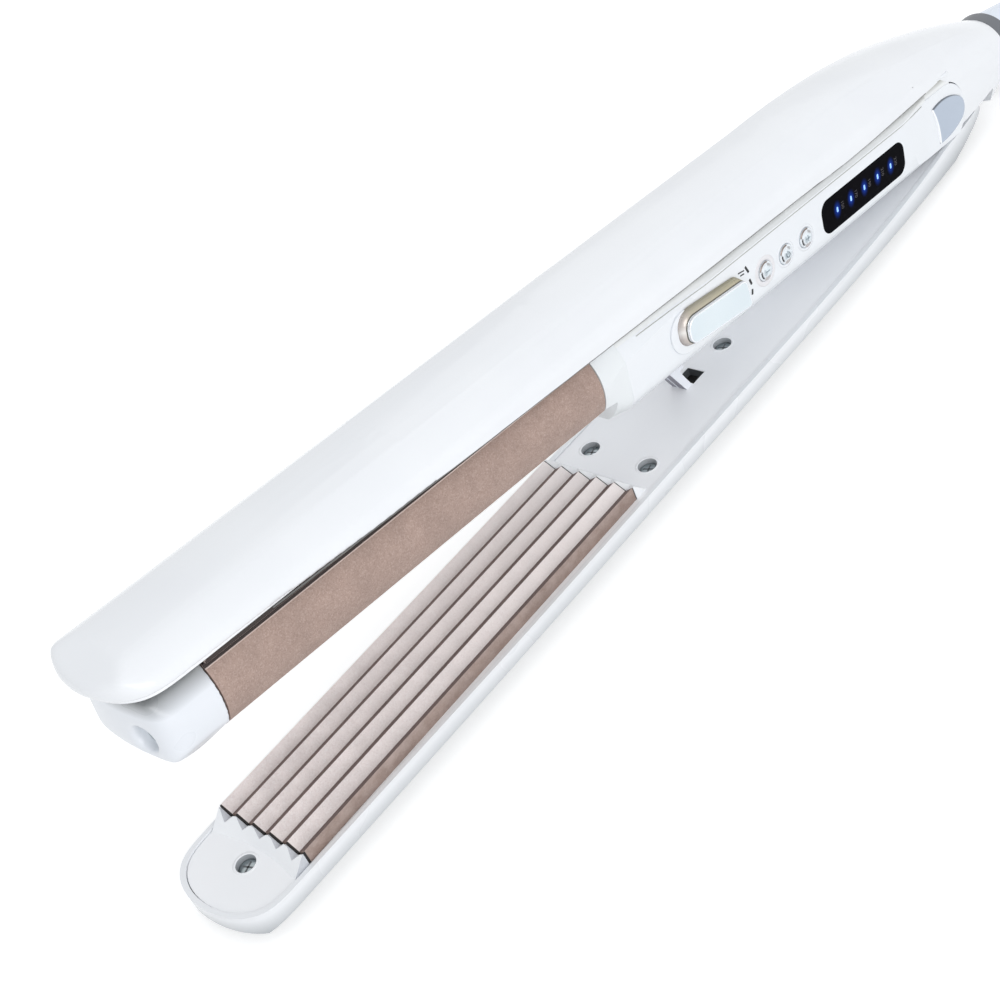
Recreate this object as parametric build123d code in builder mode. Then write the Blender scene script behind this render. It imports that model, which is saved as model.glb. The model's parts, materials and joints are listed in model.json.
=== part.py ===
from build123d import *
import os
from math import atan, cos, degrees, dist, radians, sin

os.makedirs("parts", exist_ok=True)

# Clearances shared by several pieces
face_gap = 0.4
swing_gap = 0.35
running_gap = 0.05
seat_gap = 0.15

# How far a cutting shape passes the material
cut_margin = 1.0
crown_room = 6.0

# Lengths along the middle part, counted from the plates' front ends to the hinge that the long parts share
plate_length = 110.0
end_seam = 0.3
collar_length = 7.6
collar_step = 3.3
handle_length = 130.6
handle_front = plate_length + end_seam + collar_length
hinge_reach = handle_front + handle_length

# Hinge, with its height above the crimping valleys
hinge_height = 7.0
pin_radius = 1.9
opening_angle = 8.164
straight_angle = 6.5

# Plates
ridge_pitch = 5.4
groove_count = 5
ridge_height = 1.87
plate_skirt = 3.4
plate_width = ridge_pitch * groove_count

# Outline of the crimping arm, half widths along its length
nose_length = 19.5
nose_shoulder = 14.4
nose_shoulder_half = 13.1
shoulder_share = 0.6
front_half = 15.1
wide_reach = 165.0
wide_half = 16.1
hinge_half = 12.4
tail_length = 19.9
tail_half = 8.8
tail_corner = 3.0

# Depths of the crimping arm below the plate's valleys
liner_top = -1.8
rim_top = -1.4
rim_bottom = -5.3
arm_bottom = -9.9
crease_half = 8.0
rest_front = 9.0
rest_rear = hinge_reach - 22.5
lip_width = 1.2
liner_thickness = 2.4
cover_wall = 1.6
cover_flank_wall = 4.8
tail_drop = 2.2
plate_ledge = 0.9

# Heaters under the plates, and screws
heater_length = 86.0
heater_width = 16.0
heater_thickness = 2.0
screw_shaft_radius = 1.2
screw_hole_radius = screw_shaft_radius + seat_gap
screw_head_height = 1.1

# Toothed seats at the ends of the crimping plate
front_seat_length = 3.0
front_seat_side_length = 4.8
rear_seat_length = 3.5
seat_crest = 0.3

# Screws of the crimping arm
arm_screw_radius = 2.9
arm_screw_depth = 1.6
arm_screw_length = 4.0
nose_screw_reach = 7.0
rear_screw_reach = plate_length + 10.3
rear_screw_half = 8.7
handle_screw_reach = hinge_reach - 85.9

# Latch hook and the window behind it
hook_reach = hinge_reach - 106.7
hook_length = 5.0
hook_half = 2.8
hook_height = 6.2
hook_notch = 1.6
hook_cleft = 1.4
hook_bridge = 1.2
latch_window_reach = hook_reach + 8.4
latch_window_length = 4.6
latch_window_half = 3.2

# Latch slider in the handle, and the crank pin of the lever that drives it
slider_bottom = 1.6
slider_top = 5.2
slider_thickness = 1.4
crank_reach = 5.0
crank_pin_radius = 1.0
crank_radius = 3.2
crank_thickness = 1.4
crank_rim = 0.5
fork_half = 3.0
fork_thickness = 1.6
hook_slot_front = hook_reach - 5.2
hook_slot_rear = hook_reach + 13.2
hook_slot_half = 4.2
tongue_side = 0.6

# Barrel
barrel_wall = 1.6
barrel_waist_half = 14.5
barrel_waist_height = 8.8
barrel_foot_half = 13.4
barrel_foot_height = 4.4
barrel_brow_half = 11.9
barrel_brow_height = 16.2
barrel_top = 17.5
barrel_lower_bow = 0.24
barrel_upper_bow = 0.74
flat_plate_half = 11.0
flat_plate_thickness = 2.6
shoulder_half = 10.9
barrel_ridge_count = 3
end_cap_length = 14.3
end_cap_bottom = 0.0
end_cap_belly = (5.7, 0.8)
end_cap_chin = 3.5
end_cap_foot_bow = 0.6
end_cap_round = 3.0
end_cap_nose_half = 9.6
end_cap_bow = 0.9
end_cap_shoulder = 5.0
end_cap_floor_half = 10.5
end_cap_recess = 4.0
end_cap_screw_radius = 3.0
end_cap_screw_side = -6.0
end_cap_screw_height = 7.7

# Handle
handle_half = 14.8
handle_bottom = -1.2
handle_top = 15.4
handle_corner = 5.0
handle_wall = 2.4
handle_end_wall = 2.6
ease_height = 12.2
ease_half = 12.7
ease_top = 16.0
ease_edge_half = 12.0
ease_length = 32.0
handle_straight_end = hinge_reach - 22.5
boss_half = 13.4
boss_radius = 8.45
ear_inner_half = 9.4
slot_front = hinge_reach - 10.5
deck_half = 12.6
deck_top = 17.3
deck_rear = hinge_reach - 8.5
deck_screw_reaches = (handle_front + 8.1, hinge_reach - 68.5, hinge_reach - 16.5)
deck_screw_radius = 2.2
deck_screw_length = 2.0

# Controls on the near face of the handle
lever_reach = hinge_reach - 110.5
lever_height = 8.4
lever_front_round = 4.0
lever_front_flat = 0.4
lever_back = 18.5
lever_width = 7.5
lever_end_round = 1.4
lever_edge_round = 0.5
lever_thickness = 1.7
lever_base_radius = 5.2
lever_base_height = 0.5
lever_shaft_radius = 2.0
lever_rest_angle = -7.6
button_radius = 2.9
button_height = 6.9
button_front = hinge_reach - 80.6
button_pitch = 8.1
button_count = 3
button_proud = 0.9
button_travel = 0.8
button_flange = 0.7
window_front = hinge_reach - 57.1
window_length = 35.2
window_width = 8.6
window_height = 7.6
window_end_round = 4.1
window_foot_round = 1.6
window_brow_round = 2.6
window_thickness = 1.5
window_ledge = 0.7
window_gap = 0.1
light_pitch = 5.75
light_count = 5
light_length = 2.4
light_width = 1.2

# Board behind the controls
board_half = 9.4
board_front = hinge_reach - 88.5
board_rear = hinge_reach - 16.5
switch_radius = 1.6
light_height = 2.2
board_thickness = 1.6
board_width = 11.0

# Chrome cheeks over the hinge
cheek_front = hinge_reach - 6.3
cheek_radius = 8.1
cheek_thickness = 1.5
cheek_proud = 0.5
cheek_foot = 5.4
cheek_top = 5.2
cheek_front_drop = 0.4
cheek_shoulder = (6.5, 3.0)
cheek_hip = (5.7, -3.6)
cheek_middle = 1.5
cheek_foot_run = 2.0
cheek_waist_run = 1.7

# Lugs on the hinge pin
neck_lug_radius = 5.5
neck_lug_inner = 5.7
neck_lug_outer = 9.1
arm_lug_radius = 4.5
arm_lug_inner = 2.6
arm_lug_outer = 5.3
arm_lug_run = 0.5
lug_root = 2.0
spring_radius = 3.4
spring_half = 2.1

# Top cover and neck: half widths, rim and crease heights at each station along the length
mid_reach = plate_length + 10
full_reach = hinge_reach - 58.5
shoulder_reach = hinge_reach - 32.5
merge_reach = hinge_reach - 8.5
neck_reach = hinge_reach + 14.5
ring_front = hinge_reach + 36.7
shell_foot = -1.4
tip_half = 14.9
full_half = 15.9
shoulder_rim_half = 15.6
merge_half = 13.9
neck_half = 12.5
neck_foot_half = 11.8
front_rim = 22.9
full_rim = 22.6
shoulder_rim = 22.0
merge_rim = 19.8
neck_rim = 13.8
tip_crease = 26.8
mid_crease = 28.1
full_crease = 28.3
merge_crease = 26.0
neck_crease = 21.3
neck_crease_half = 7.4
faint_bow = 0.03
flank_bow = 0.2
crown_bow = 0.6
shoulder_crown = 0.8
rim_roll = 2.2
rim_bow = 0.5
merge_bows = (0.1, 0.2, 0.4, 0.4, 1.2)
neck_bows = (0.4, 0.6, 0.3, 0.6, 1.7)
ring_angles = (-45, 7, 23, 55)
nose_slope_end = 9.5

# Edge of the top cover, the crease behind it and the socket round the handle's boss
cover_edge_front = 20.3
cover_edge_rear = 17.6
edge_end_reach = hinge_reach - 0.5
edge_end_height = 17.5
crease_start = (hinge_reach - 2.0, 13.9, 17.4)
crease_stop = (hinge_reach + 10.5, 13.1, 15.2)
crease_start_radius = 1.2
crease_stop_radius = 0.2
socket_top_angle = 72
socket_foot_angle = 38

# Inside of the top arm
top_lip = 1.7
vault_spread = 3.0
top_liner_bottom = 19.0
top_liner_step = 17.7
top_liner_top = 21.2
top_liner_rear = hinge_reach - 12.5
straight_plate_half = 13.2
straight_plate_skirt = 1.3
top_screw_rear_reach = plate_length + 14
top_screw_half = 9.0
top_screw_end_reach = hinge_reach - 24.5
top_screw_length = 3.4

# Ring at the neck's end
ring_width = 4.8
ring_radius = 9.2

# Swivel and the cord's bore
swivel_radius = 8.4
swivel_end_radius = 6.2
swivel_length = 19.0
cord_bore_radius = 3.3
cord_bore_length = 16.0
swivel_stem_radius = 5.5
swivel_stem_length = 6.0

# Frames: the crimping arm lies on its flat underside, the rest is turned up about the hinge
rest_centre = (rest_rear - rest_front) / 2
turn = radians(opening_angle)
arm = Plane(origin=(-rest_centre, 0, -arm_bottom), x_dir=(1, 0, 0), z_dir=(0, 0, 1))
body_front = (
    hinge_reach - hinge_reach * cos(turn) - hinge_height * sin(turn),
    0,
    hinge_height + hinge_reach * sin(turn) - hinge_height * cos(turn),
)
body = Plane(
    origin=arm.from_local_coords(body_front),
    x_dir=(cos(turn), 0, -sin(turn)),
    z_dir=(sin(turn), 0, cos(turn)),
)


def across(frame, reach):
    origin = frame.from_local_coords((reach, 0, 0))
    return Plane(origin=origin, x_dir=frame.y_dir, z_dir=frame.x_dir)


def level(frame, height):
    origin = frame.from_local_coords((0, 0, height))
    return Plane(origin=origin, x_dir=frame.x_dir, z_dir=frame.z_dir)


def beside(frame, offset_y):
    origin = frame.from_local_coords((0, offset_y, 0))
    return Plane(origin=origin, x_dir=frame.x_dir, z_dir=-frame.y_dir)


def on_hinge(angle, distance):
    x = hinge_reach + distance * cos(radians(angle))
    return (x, hinge_height + distance * sin(radians(angle)))


def nose_curve(inset):
    return Spline(
        (0, -front_half + inset),
        (-nose_shoulder + inset * shoulder_share, -nose_shoulder_half + inset),
        (-nose_length + inset, 0),
        tangents=[(-1, 0.02), (0, 1)],
        mode=Mode.PRIVATE,
    )


def arm_outline(inset):
    tail_end = hinge_reach + tail_length + tail_corner - inset
    with BuildSketch() as outline:
        with BuildLine():
            add(nose_curve(inset))
            Spline(
                (0, -front_half + inset),
                (wide_reach, -wide_half + inset),
                (hinge_reach, -hinge_half + inset),
                (hinge_reach + tail_length, -tail_half + inset),
                tangents=[(1, -0.02), (1, 0.3)],
            )
            Spline(
                (hinge_reach + tail_length, -tail_half + inset),
                (tail_end, -tail_half + tail_corner + inset),
                tangents=[(1, 0.3), (0, 1)],
            )
            Line((tail_end, -tail_half + tail_corner + inset), (tail_end, 0))
            mirror(about=Plane.XZ)
        make_face()
    return outline.sketch


def groove_profile(count, depth):
    with BuildSketch() as grooves:
        with GridLocations(ridge_pitch, 0, count, 1):
            Polygon((-ridge_pitch / 2, 0), (0, -depth), (ridge_pitch / 2, 0), align=None)
    return grooves.sketch


def lug_profile(radius, run, drop):
    with BuildSketch() as lug:
        with Locations((hinge_reach, hinge_height)):
            Circle(radius)
        with BuildLine():
            Polyline(
                (hinge_reach, hinge_height + radius),
                (hinge_reach + run, hinge_height + radius),
                (hinge_reach + run, hinge_height - radius),
                (hinge_reach, hinge_height - radius),
                close=True,
            )
        make_face()
        with BuildLine():
            Polyline(
                (hinge_reach - radius, hinge_height),
                (hinge_reach + radius, hinge_height),
                (hinge_reach + radius, hinge_height - drop),
                (hinge_reach - radius, hinge_height - drop),
                close=True,
            )
        make_face()
    return lug.sketch


def top_outline(inset, rear):
    with BuildSketch() as outline:
        with BuildLine():
            add(nose_curve(inset))
            Line((0, -front_half + inset), (rear, -front_half + inset))
            Line((rear, -front_half + inset), (rear, 0))
            mirror(about=Plane.XZ)
        make_face()
    return outline.sketch


arm_edge = arm_outline(0)
arm_inside = arm_outline(lip_width)
arm_liner_edge = arm_outline(lip_width + seat_gap)
arm_grooves = groove_profile(groove_count, ridge_height)
barrel_ridges = groove_profile(barrel_ridge_count, ridge_height)

arm_screw_spots = [
    (-nose_screw_reach, 0),
    (rear_screw_reach, -rear_screw_half),
    (rear_screw_reach, rear_screw_half),
    (handle_screw_reach, 0),
]
top_screw_spots = [
    (-nose_screw_reach, 0),
    (top_screw_rear_reach, -top_screw_half),
    (top_screw_rear_reach, top_screw_half),
    (top_screw_end_reach, 0),
]

# Cover of the crimping arm: one outline, faceted flanks, a flat underside to rest on
with BuildPart() as crimp_arm_cover:
    with BuildSketch(level(arm, arm_bottom)):
        add(arm_edge)
    extrude(amount=rim_top - arm_bottom)
    with BuildSketch(across(arm, -nose_length - cut_margin)):
        with BuildLine():
            Polyline(
                (-wide_half - cut_margin, rim_top),
                (-wide_half - cut_margin, rim_bottom),
                (-wide_half, rim_bottom),
                (-crease_half, arm_bottom),
                (crease_half, arm_bottom),
                (wide_half, rim_bottom),
                (wide_half + cut_margin, rim_bottom),
                (wide_half + cut_margin, rim_top),
                close=True,
            )
        make_face()
    extrude(amount=hinge_reach + tail_length + nose_length + 2 * tail_corner, mode=Mode.INTERSECT)
    with BuildSketch(beside(arm, 0)):
        with BuildLine():
            Polyline(
                (-nose_length, rim_bottom),
                (-rest_front, arm_bottom),
                (rest_rear, arm_bottom),
                (hinge_reach + tail_length + tail_corner, rim_bottom),
                (hinge_reach + tail_length + tail_corner, rim_top - tail_drop),
                (hinge_reach, rim_top),
                (-nose_length, rim_top),
                close=True,
            )
        make_face()
    extrude(amount=wide_half + cut_margin, both=True, mode=Mode.INTERSECT)
    with BuildSketch(level(arm, liner_top - liner_thickness)):
        add(arm_inside)
    extrude(amount=liner_thickness - liner_top, mode=Mode.SUBTRACT)
    with BuildSketch(across(arm, 0)):
        with BuildLine():
            Polyline(
                (-wide_half + cover_flank_wall, liner_top - liner_thickness),
                (-crease_half, arm_bottom + cover_wall),
                (crease_half, arm_bottom + cover_wall),
                (wide_half - cover_flank_wall, liner_top - liner_thickness),
                close=True,
            )
        make_face()
    extrude(amount=rest_rear, mode=Mode.SUBTRACT)
    with BuildSketch(level(arm, liner_top - arm_screw_depth)):
        with Locations(*arm_screw_spots):
            Circle(screw_hole_radius)
    extrude(amount=-arm_screw_length - seat_gap, mode=Mode.SUBTRACT)

crimp_arm_cover.part.label = "crimp_arm_cover"
export_step(crimp_arm_cover.part, "parts/crimp_arm_cover.step")

# Inner liner of the crimping arm, with the plate's pocket, screw recesses, latch window and hinge lugs
pocket_half = plate_width / 2 - plate_ledge + seat_gap
liner_bottom = liner_top - liner_thickness
tail_end = hinge_reach + tail_length + tail_corner
with BuildPart() as crimp_arm_liner:
    with BuildSketch(level(arm, liner_bottom)):
        add(arm_liner_edge)
    extrude(amount=liner_thickness)
    with BuildSketch(beside(arm, 0)):
        with BuildLine():
            Polyline(
                (hinge_reach, liner_top),
                (tail_end, liner_top - tail_drop),
                (tail_end, liner_top + cut_margin),
                close=True,
            )
        make_face()
    extrude(amount=wide_half, both=True, mode=Mode.SUBTRACT)
    with BuildSketch(level(arm, -plate_skirt)):
        with Locations((plate_length / 2, 0)):
            Rectangle(plate_length + 2 * seat_gap, 2 * pocket_half)
    extrude(amount=plate_skirt + liner_top, mode=Mode.SUBTRACT)
    with BuildSketch(level(arm, liner_bottom)):
        with Locations((plate_length / 2, 0)):
            Rectangle(heater_length + 2 * seat_gap, heater_width + 2 * seat_gap)
    extrude(amount=liner_thickness, mode=Mode.SUBTRACT)
    with BuildSketch(level(arm, liner_top)):
        with Locations((latch_window_reach, 0)):
            Rectangle(latch_window_length, 2 * latch_window_half)
    extrude(amount=-liner_thickness, mode=Mode.SUBTRACT)
    for side_sign in (-1, 1):
        with BuildSketch(beside(arm, side_sign * (arm_lug_inner + arm_lug_outer) / 2)):
            add(lug_profile(arm_lug_radius, arm_lug_run, hinge_height - liner_top))
        extrude(amount=(arm_lug_outer - arm_lug_inner) / 2, both=True)
    with BuildSketch(beside(arm, 0)):
        with Locations((hinge_reach, hinge_height)):
            Circle(pin_radius + running_gap)
    extrude(amount=arm_lug_outer + cut_margin, both=True, mode=Mode.SUBTRACT)
    with Locations(level(arm, liner_top)):
        with Locations(*arm_screw_spots):
            CounterBoreHole(screw_hole_radius, arm_screw_radius, arm_screw_depth, liner_thickness)

crimp_arm_liner.part.label = "crimp_arm_liner"
export_step(crimp_arm_liner.part, "parts/crimp_arm_liner.step")

with BuildPart() as crimp_arm_screws:
    with BuildSketch(level(arm, liner_top - arm_screw_depth)):
        with Locations(*arm_screw_spots):
            Circle(arm_screw_radius - seat_gap)
    extrude(amount=screw_head_height)
    with BuildSketch(level(arm, liner_top - arm_screw_depth)):
        with Locations(*arm_screw_spots):
            Circle(screw_shaft_radius)
    extrude(amount=-arm_screw_length)

crimp_arm_screws.part.label = "crimp_arm_screws"
export_step(crimp_arm_screws.part, "parts/crimp_arm_screws.step")

# Crimping plate of the arm, a ridged face on a skirt that sits in the liner's pocket
with BuildPart() as crimp_plate:
    with BuildSketch(level(arm, liner_top)):
        with Locations((plate_length / 2, 0)):
            Rectangle(plate_length, plate_width)
    extrude(amount=ridge_height - liner_top)
    with BuildSketch(level(arm, -plate_skirt)):
        with Locations((plate_length / 2, 0)):
            Rectangle(plate_length, plate_width - 2 * plate_ledge)
    extrude(amount=plate_skirt + liner_top)
    with BuildSketch(across(arm, 0)):
        with Locations((0, ridge_height)):
            add(arm_grooves)
    extrude(amount=plate_length, mode=Mode.SUBTRACT)

crimp_plate.part.label = "crimp_plate"
export_step(crimp_plate.part, "parts/crimp_plate.step")

with BuildPart() as crimp_arm_heater:
    with BuildSketch(level(arm, -plate_skirt)):
        with Locations((plate_length / 2, 0)):
            Rectangle(heater_length, heater_width)
    extrude(amount=-heater_thickness)

crimp_arm_heater.part.label = "crimp_arm_heater"
export_step(crimp_arm_heater.part, "parts/crimp_arm_heater.step")

# Toothed seats that carry the plate's ends and follow its ridges
with BuildPart() as front_plate_seat:
    with BuildSketch(level(arm, liner_top)):
        with BuildLine():
            seat_foot = ThreePointArc(
                (-seat_gap - front_seat_side_length, -plate_width / 2),
                (-seat_gap - front_seat_length, 0),
                (-seat_gap - front_seat_side_length, plate_width / 2),
            )
            Polyline(
                seat_foot @ 1,
                (-seat_gap, plate_width / 2),
                (-seat_gap, -plate_width / 2),
                seat_foot @ 0,
            )
        make_face()
    with BuildSketch(level(arm, ridge_height)):
        with BuildLine():
            Polyline(
                (-seat_gap - seat_crest, -plate_width / 2),
                (-seat_gap - seat_crest, plate_width / 2),
                (-seat_gap, plate_width / 2),
                (-seat_gap, -plate_width / 2),
                close=True,
            )
        make_face()
    loft(ruled=True)
    with BuildSketch(across(arm, -seat_gap)):
        with Locations((0, (ridge_height + liner_top) / 2)):
            Rectangle(plate_width, ridge_height - liner_top)
        with Locations((0, ridge_height)):
            add(arm_grooves, mode=Mode.SUBTRACT)
    extrude(amount=-front_seat_side_length, mode=Mode.INTERSECT)

front_plate_seat.part.label = "front_plate_seat"
export_step(front_plate_seat.part, "parts/front_plate_seat.step")

with BuildPart() as rear_plate_seat:
    with BuildSketch(across(arm, plate_length + seat_gap)):
        with Locations((0, (ridge_height + liner_top) / 2)):
            Rectangle(plate_width, ridge_height - liner_top)
        with Locations((0, ridge_height)):
            add(arm_grooves, mode=Mode.SUBTRACT)
    extrude(amount=rear_seat_length)
    with BuildSketch(beside(arm, 0)):
        with BuildLine():
            Polyline(
                (plate_length + seat_gap + seat_crest, ridge_height),
                (plate_length + seat_gap + rear_seat_length, liner_top),
                (plate_length + seat_gap + rear_seat_length, ridge_height),
                close=True,
            )
        make_face()
    extrude(amount=plate_width, both=True, mode=Mode.SUBTRACT)

rear_plate_seat.part.label = "rear_plate_seat"
export_step(rear_plate_seat.part, "parts/rear_plate_seat.step")

# Latch hook on two legs, notched for the slider's tongue
hook_front = hook_reach - hook_length / 2
tongue_height = (slider_bottom + slider_top) / 2
with BuildPart() as latch_hook:
    with BuildSketch(beside(arm, 0)):
        with BuildLine():
            Polyline(
                (hook_front, liner_top),
                (hook_front, tongue_height - slider_thickness / 2 - swing_gap),
                (hook_front + hook_notch, tongue_height - slider_thickness / 2 - swing_gap),
                (hook_front + hook_notch, tongue_height + slider_thickness / 2 + swing_gap),
                (hook_front, tongue_height + slider_thickness / 2 + swing_gap),
                (hook_front + hook_notch / 2, hook_height),
                (hook_front + hook_length, hook_height),
                (hook_front + hook_length, liner_top),
                close=True,
            )
        make_face()
    extrude(amount=hook_half, both=True)
    with BuildSketch(level(arm, liner_top)):
        with Locations((hook_front + hook_length / 2, 0)):
            Rectangle(hook_length, hook_cleft)
    extrude(amount=hook_height - hook_bridge - liner_top, mode=Mode.SUBTRACT)

latch_hook.part.label = "latch_hook"
export_step(latch_hook.part, "parts/latch_hook.step")

# Curved barrel sides, one arc in section, between the two plates
root_height = ridge_height + face_gap
with BuildPart() as barrel_side_near:
    with BuildSketch(across(body, 0)):
        with BuildLine():
            outer = ThreePointArc(
                (-barrel_foot_half, barrel_foot_height),
                (-barrel_waist_half, barrel_waist_height),
                (-barrel_brow_half, barrel_brow_height),
            )
            inner = ThreePointArc(
                (-barrel_foot_half + barrel_wall, barrel_foot_height),
                (-barrel_waist_half + barrel_wall, barrel_waist_height),
                (-barrel_brow_half + barrel_wall, barrel_brow_height - barrel_wall / 2),
            )
            Line(outer @ 0, inner @ 0)
            Line(outer @ 1, inner @ 1)
        make_face()
    extrude(amount=plate_length)

barrel_side_near.part.label = "barrel_side_near"
export_step(barrel_side_near.part, "parts/barrel_side_near.step")

with BuildPart() as barrel_side_far:
    mirror(barrel_side_near.part, about=Plane.XZ)

barrel_side_far.part.label = "barrel_side_far"
export_step(barrel_side_far.part, "parts/barrel_side_far.step")

with BuildPart() as barrel_flat_plate:
    with BuildSketch(across(body, 0)):
        with BuildLine():
            Polyline(
                (-barrel_brow_half + barrel_wall, barrel_top - flat_plate_thickness),
                (-barrel_brow_half + barrel_wall, barrel_brow_height - barrel_wall / 2),
                (-barrel_brow_half, barrel_brow_height),
                (-flat_plate_half, barrel_top),
                (flat_plate_half, barrel_top),
                (barrel_brow_half, barrel_brow_height),
                (barrel_brow_half - barrel_wall, barrel_brow_height - barrel_wall / 2),
                (barrel_brow_half - barrel_wall, barrel_top - flat_plate_thickness),
                close=True,
            )
        make_face()
    extrude(amount=plate_length)

barrel_flat_plate.part.label = "barrel_flat_plate"
export_step(barrel_flat_plate.part, "parts/barrel_flat_plate.step")

# Crimping plate under the barrel, its ridges in mesh with the arm's valleys
with BuildPart() as barrel_crimp_plate:
    with BuildSketch(across(body, 0)):
        with BuildLine():
            Polyline(
                (-barrel_foot_half, barrel_foot_height),
                (-shoulder_half, root_height),
                (shoulder_half, root_height),
                (barrel_foot_half, barrel_foot_height),
                close=True,
            )
        make_face()
        with Locations((0, root_height)):
            add(barrel_ridges)
    extrude(amount=plate_length)

barrel_crimp_plate.part.label = "barrel_crimp_plate"
export_step(barrel_crimp_plate.part, "parts/barrel_crimp_plate.step")

with BuildPart() as barrel_heaters:
    for heater_height in (barrel_foot_height, barrel_top - flat_plate_thickness - heater_thickness):
        with BuildSketch(level(body, heater_height)):
            with Locations((plate_length / 2, 0)):
                Rectangle(heater_length, heater_width)
        extrude(amount=heater_thickness)

barrel_heaters.part.label = "barrel_heaters"
export_step(barrel_heaters.part, "parts/barrel_heaters.step")


# End cap of the barrel, a blunt bowl with one screw recess in its front
cap_front_reach = -end_seam - end_cap_length
with BuildPart() as barrel_end_cap:
    with BuildSketch(across(body, -end_seam)):
        with BuildLine():
            flank = ThreePointArc(
                (-barrel_foot_half, barrel_foot_height),
                (-barrel_waist_half, barrel_waist_height),
                (-barrel_brow_half, barrel_brow_height),
            )
            Polyline(flank @ 1, (-flat_plate_half, barrel_top), (0, barrel_top))
            SagittaArc(flank @ 0, (-end_cap_floor_half, end_cap_bottom), end_cap_foot_bow)
            Line((-end_cap_floor_half, end_cap_bottom), (0, end_cap_bottom))
            mirror(about=Plane.YZ)
        make_face()
    extrude(amount=-end_cap_length)
    with BuildSketch(level(body, end_cap_bottom)):
        with BuildLine():
            cap_flank = Line((-end_seam, -barrel_waist_half), (-end_cap_shoulder, -barrel_waist_half))
            cap_nose = ThreePointArc(
                (cap_front_reach + end_cap_bow, -end_cap_nose_half),
                (cap_front_reach, 0),
                (cap_front_reach + end_cap_bow, end_cap_nose_half),
            )
            Spline(cap_flank @ 1, cap_nose @ 0, tangents=[(-1, 0), (-end_cap_bow, end_cap_nose_half)])
            Line((-end_seam, -barrel_waist_half), (-end_seam, barrel_waist_half))
            far_flank = Line((-end_seam, barrel_waist_half), (-end_cap_shoulder, barrel_waist_half))
            Spline(far_flank @ 1, cap_nose @ 1, tangents=[(-1, 0), (-end_cap_bow, -end_cap_nose_half)])
        make_face()
    extrude(amount=barrel_top - end_cap_bottom, mode=Mode.INTERSECT)
    with BuildSketch(beside(body, 0)):
        with BuildLine():
            cap_belly = ThreePointArc(
                (-end_seam, root_height),
                (-end_seam - end_cap_belly[0], end_cap_belly[1]),
                (cap_front_reach, end_cap_chin),
            )
            Polyline(
                cap_belly @ 1,
                (cap_front_reach, barrel_top),
                (-end_seam, barrel_top),
                cap_belly @ 0,
            )
        make_face()
    extrude(amount=barrel_waist_half, both=True, mode=Mode.INTERSECT)
    cap_front = barrel_end_cap.faces().sort_by(Axis(body.origin, body.x_dir))[0]
    cap_chin = cap_front.edges().sort_by(Axis(body.origin, body.z_dir))[0]
    cap_floor = barrel_end_cap.faces().sort_by(Axis(body.origin, body.z_dir))[0]
    cap_bilges = cap_floor.edges().filter_by(lambda edge: abs(edge.center().Y) > end_cap_nose_half)
    fillet([*cap_bilges, cap_chin], end_cap_round)
    with BuildSketch(across(body, cap_front_reach)):
        with Locations((end_cap_screw_side, end_cap_screw_height)):
            Circle(end_cap_screw_radius)
    extrude(amount=end_cap_recess, mode=Mode.SUBTRACT)

barrel_end_cap.part.label = "barrel_end_cap"
export_step(barrel_end_cap.part, "parts/barrel_end_cap.step")

with BuildPart() as end_cap_screws:
    with BuildSketch(across(body, cap_front_reach + end_cap_recess)):
        with Locations((end_cap_screw_side, end_cap_screw_height)):
            Circle(end_cap_screw_radius - seat_gap)
    extrude(amount=-screw_head_height)

end_cap_screws.part.label = "end_cap_screws"
export_step(end_cap_screws.part, "parts/end_cap_screws.step")



def collar_station(reach, foot, waist, brow, edge, bows):
    foot_bow, flank_bow, brow_bow = bows
    with BuildSketch(across(body, reach)) as station:
        with BuildLine():
            Line((0, handle_bottom), (handle_floor_half, handle_bottom))
            SagittaArc((handle_floor_half, handle_bottom), foot, -foot_bow)
            SagittaArc(foot, waist, -flank_bow)
            SagittaArc(waist, brow, -brow_bow)
            Polyline(brow, edge, (0, edge[1]))
            mirror(about=Plane.YZ)
        make_face()
    return station.sketch


# Collar that keeps the barrel's heat from the handle, blending the barrel's section into the handle's
collar_front = plate_length + end_seam
handle_floor_half = handle_half - handle_corner
handle_foot_height = handle_bottom + handle_corner
front_section = collar_station(
    collar_front,
    (barrel_foot_half, barrel_foot_height),
    (barrel_waist_half, barrel_waist_height),
    (barrel_brow_half, barrel_brow_height),
    (flat_plate_half, barrel_top),
    (faint_bow, barrel_lower_bow, barrel_upper_bow),
)
rear_section = collar_station(
    handle_front,
    (handle_half, handle_foot_height),
    (handle_half, ease_height),
    (ease_half, ease_top),
    (ease_edge_half, deck_top),
    (handle_corner * (1 - cos(radians(45))), faint_bow, faint_bow),
)
with BuildPart() as heat_collar:
    loft(sections=[front_section, rear_section], ruled=True)
    with BuildSketch(across(body, collar_front)):
        with BuildLine():
            Polyline(
                (-shoulder_half, root_height),
                (-barrel_foot_half, barrel_foot_height),
                (-handle_half - cut_margin, barrel_foot_height),
                (-handle_half - cut_margin, handle_bottom - cut_margin),
                (handle_half + cut_margin, handle_bottom - cut_margin),
                (handle_half + cut_margin, barrel_foot_height),
                (barrel_foot_half, barrel_foot_height),
                (shoulder_half, root_height),
                close=True,
            )
        make_face()
    extrude(amount=collar_step, mode=Mode.SUBTRACT)

heat_collar.part.label = "heat_collar"
export_step(heat_collar.part, "parts/heat_collar.step")

# Wedge that eases the handle's front shoulders into the collar
with BuildPart() as shoulder_ease:
    with BuildSketch(across(body, handle_front)):
        with BuildLine():
            Polyline(
                (handle_half, ease_height),
                (ease_edge_half, deck_top),
                (handle_half, deck_top + cut_margin),
                close=True,
            )
        make_face()
    with BuildSketch(across(body, handle_front + ease_length)):
        with BuildLine():
            Polyline(
                (handle_half, handle_top),
                (deck_half, deck_top),
                (handle_half, deck_top + cut_margin),
                close=True,
            )
        make_face()
    loft(ruled=True)
    mirror(about=Plane.XZ)

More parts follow.
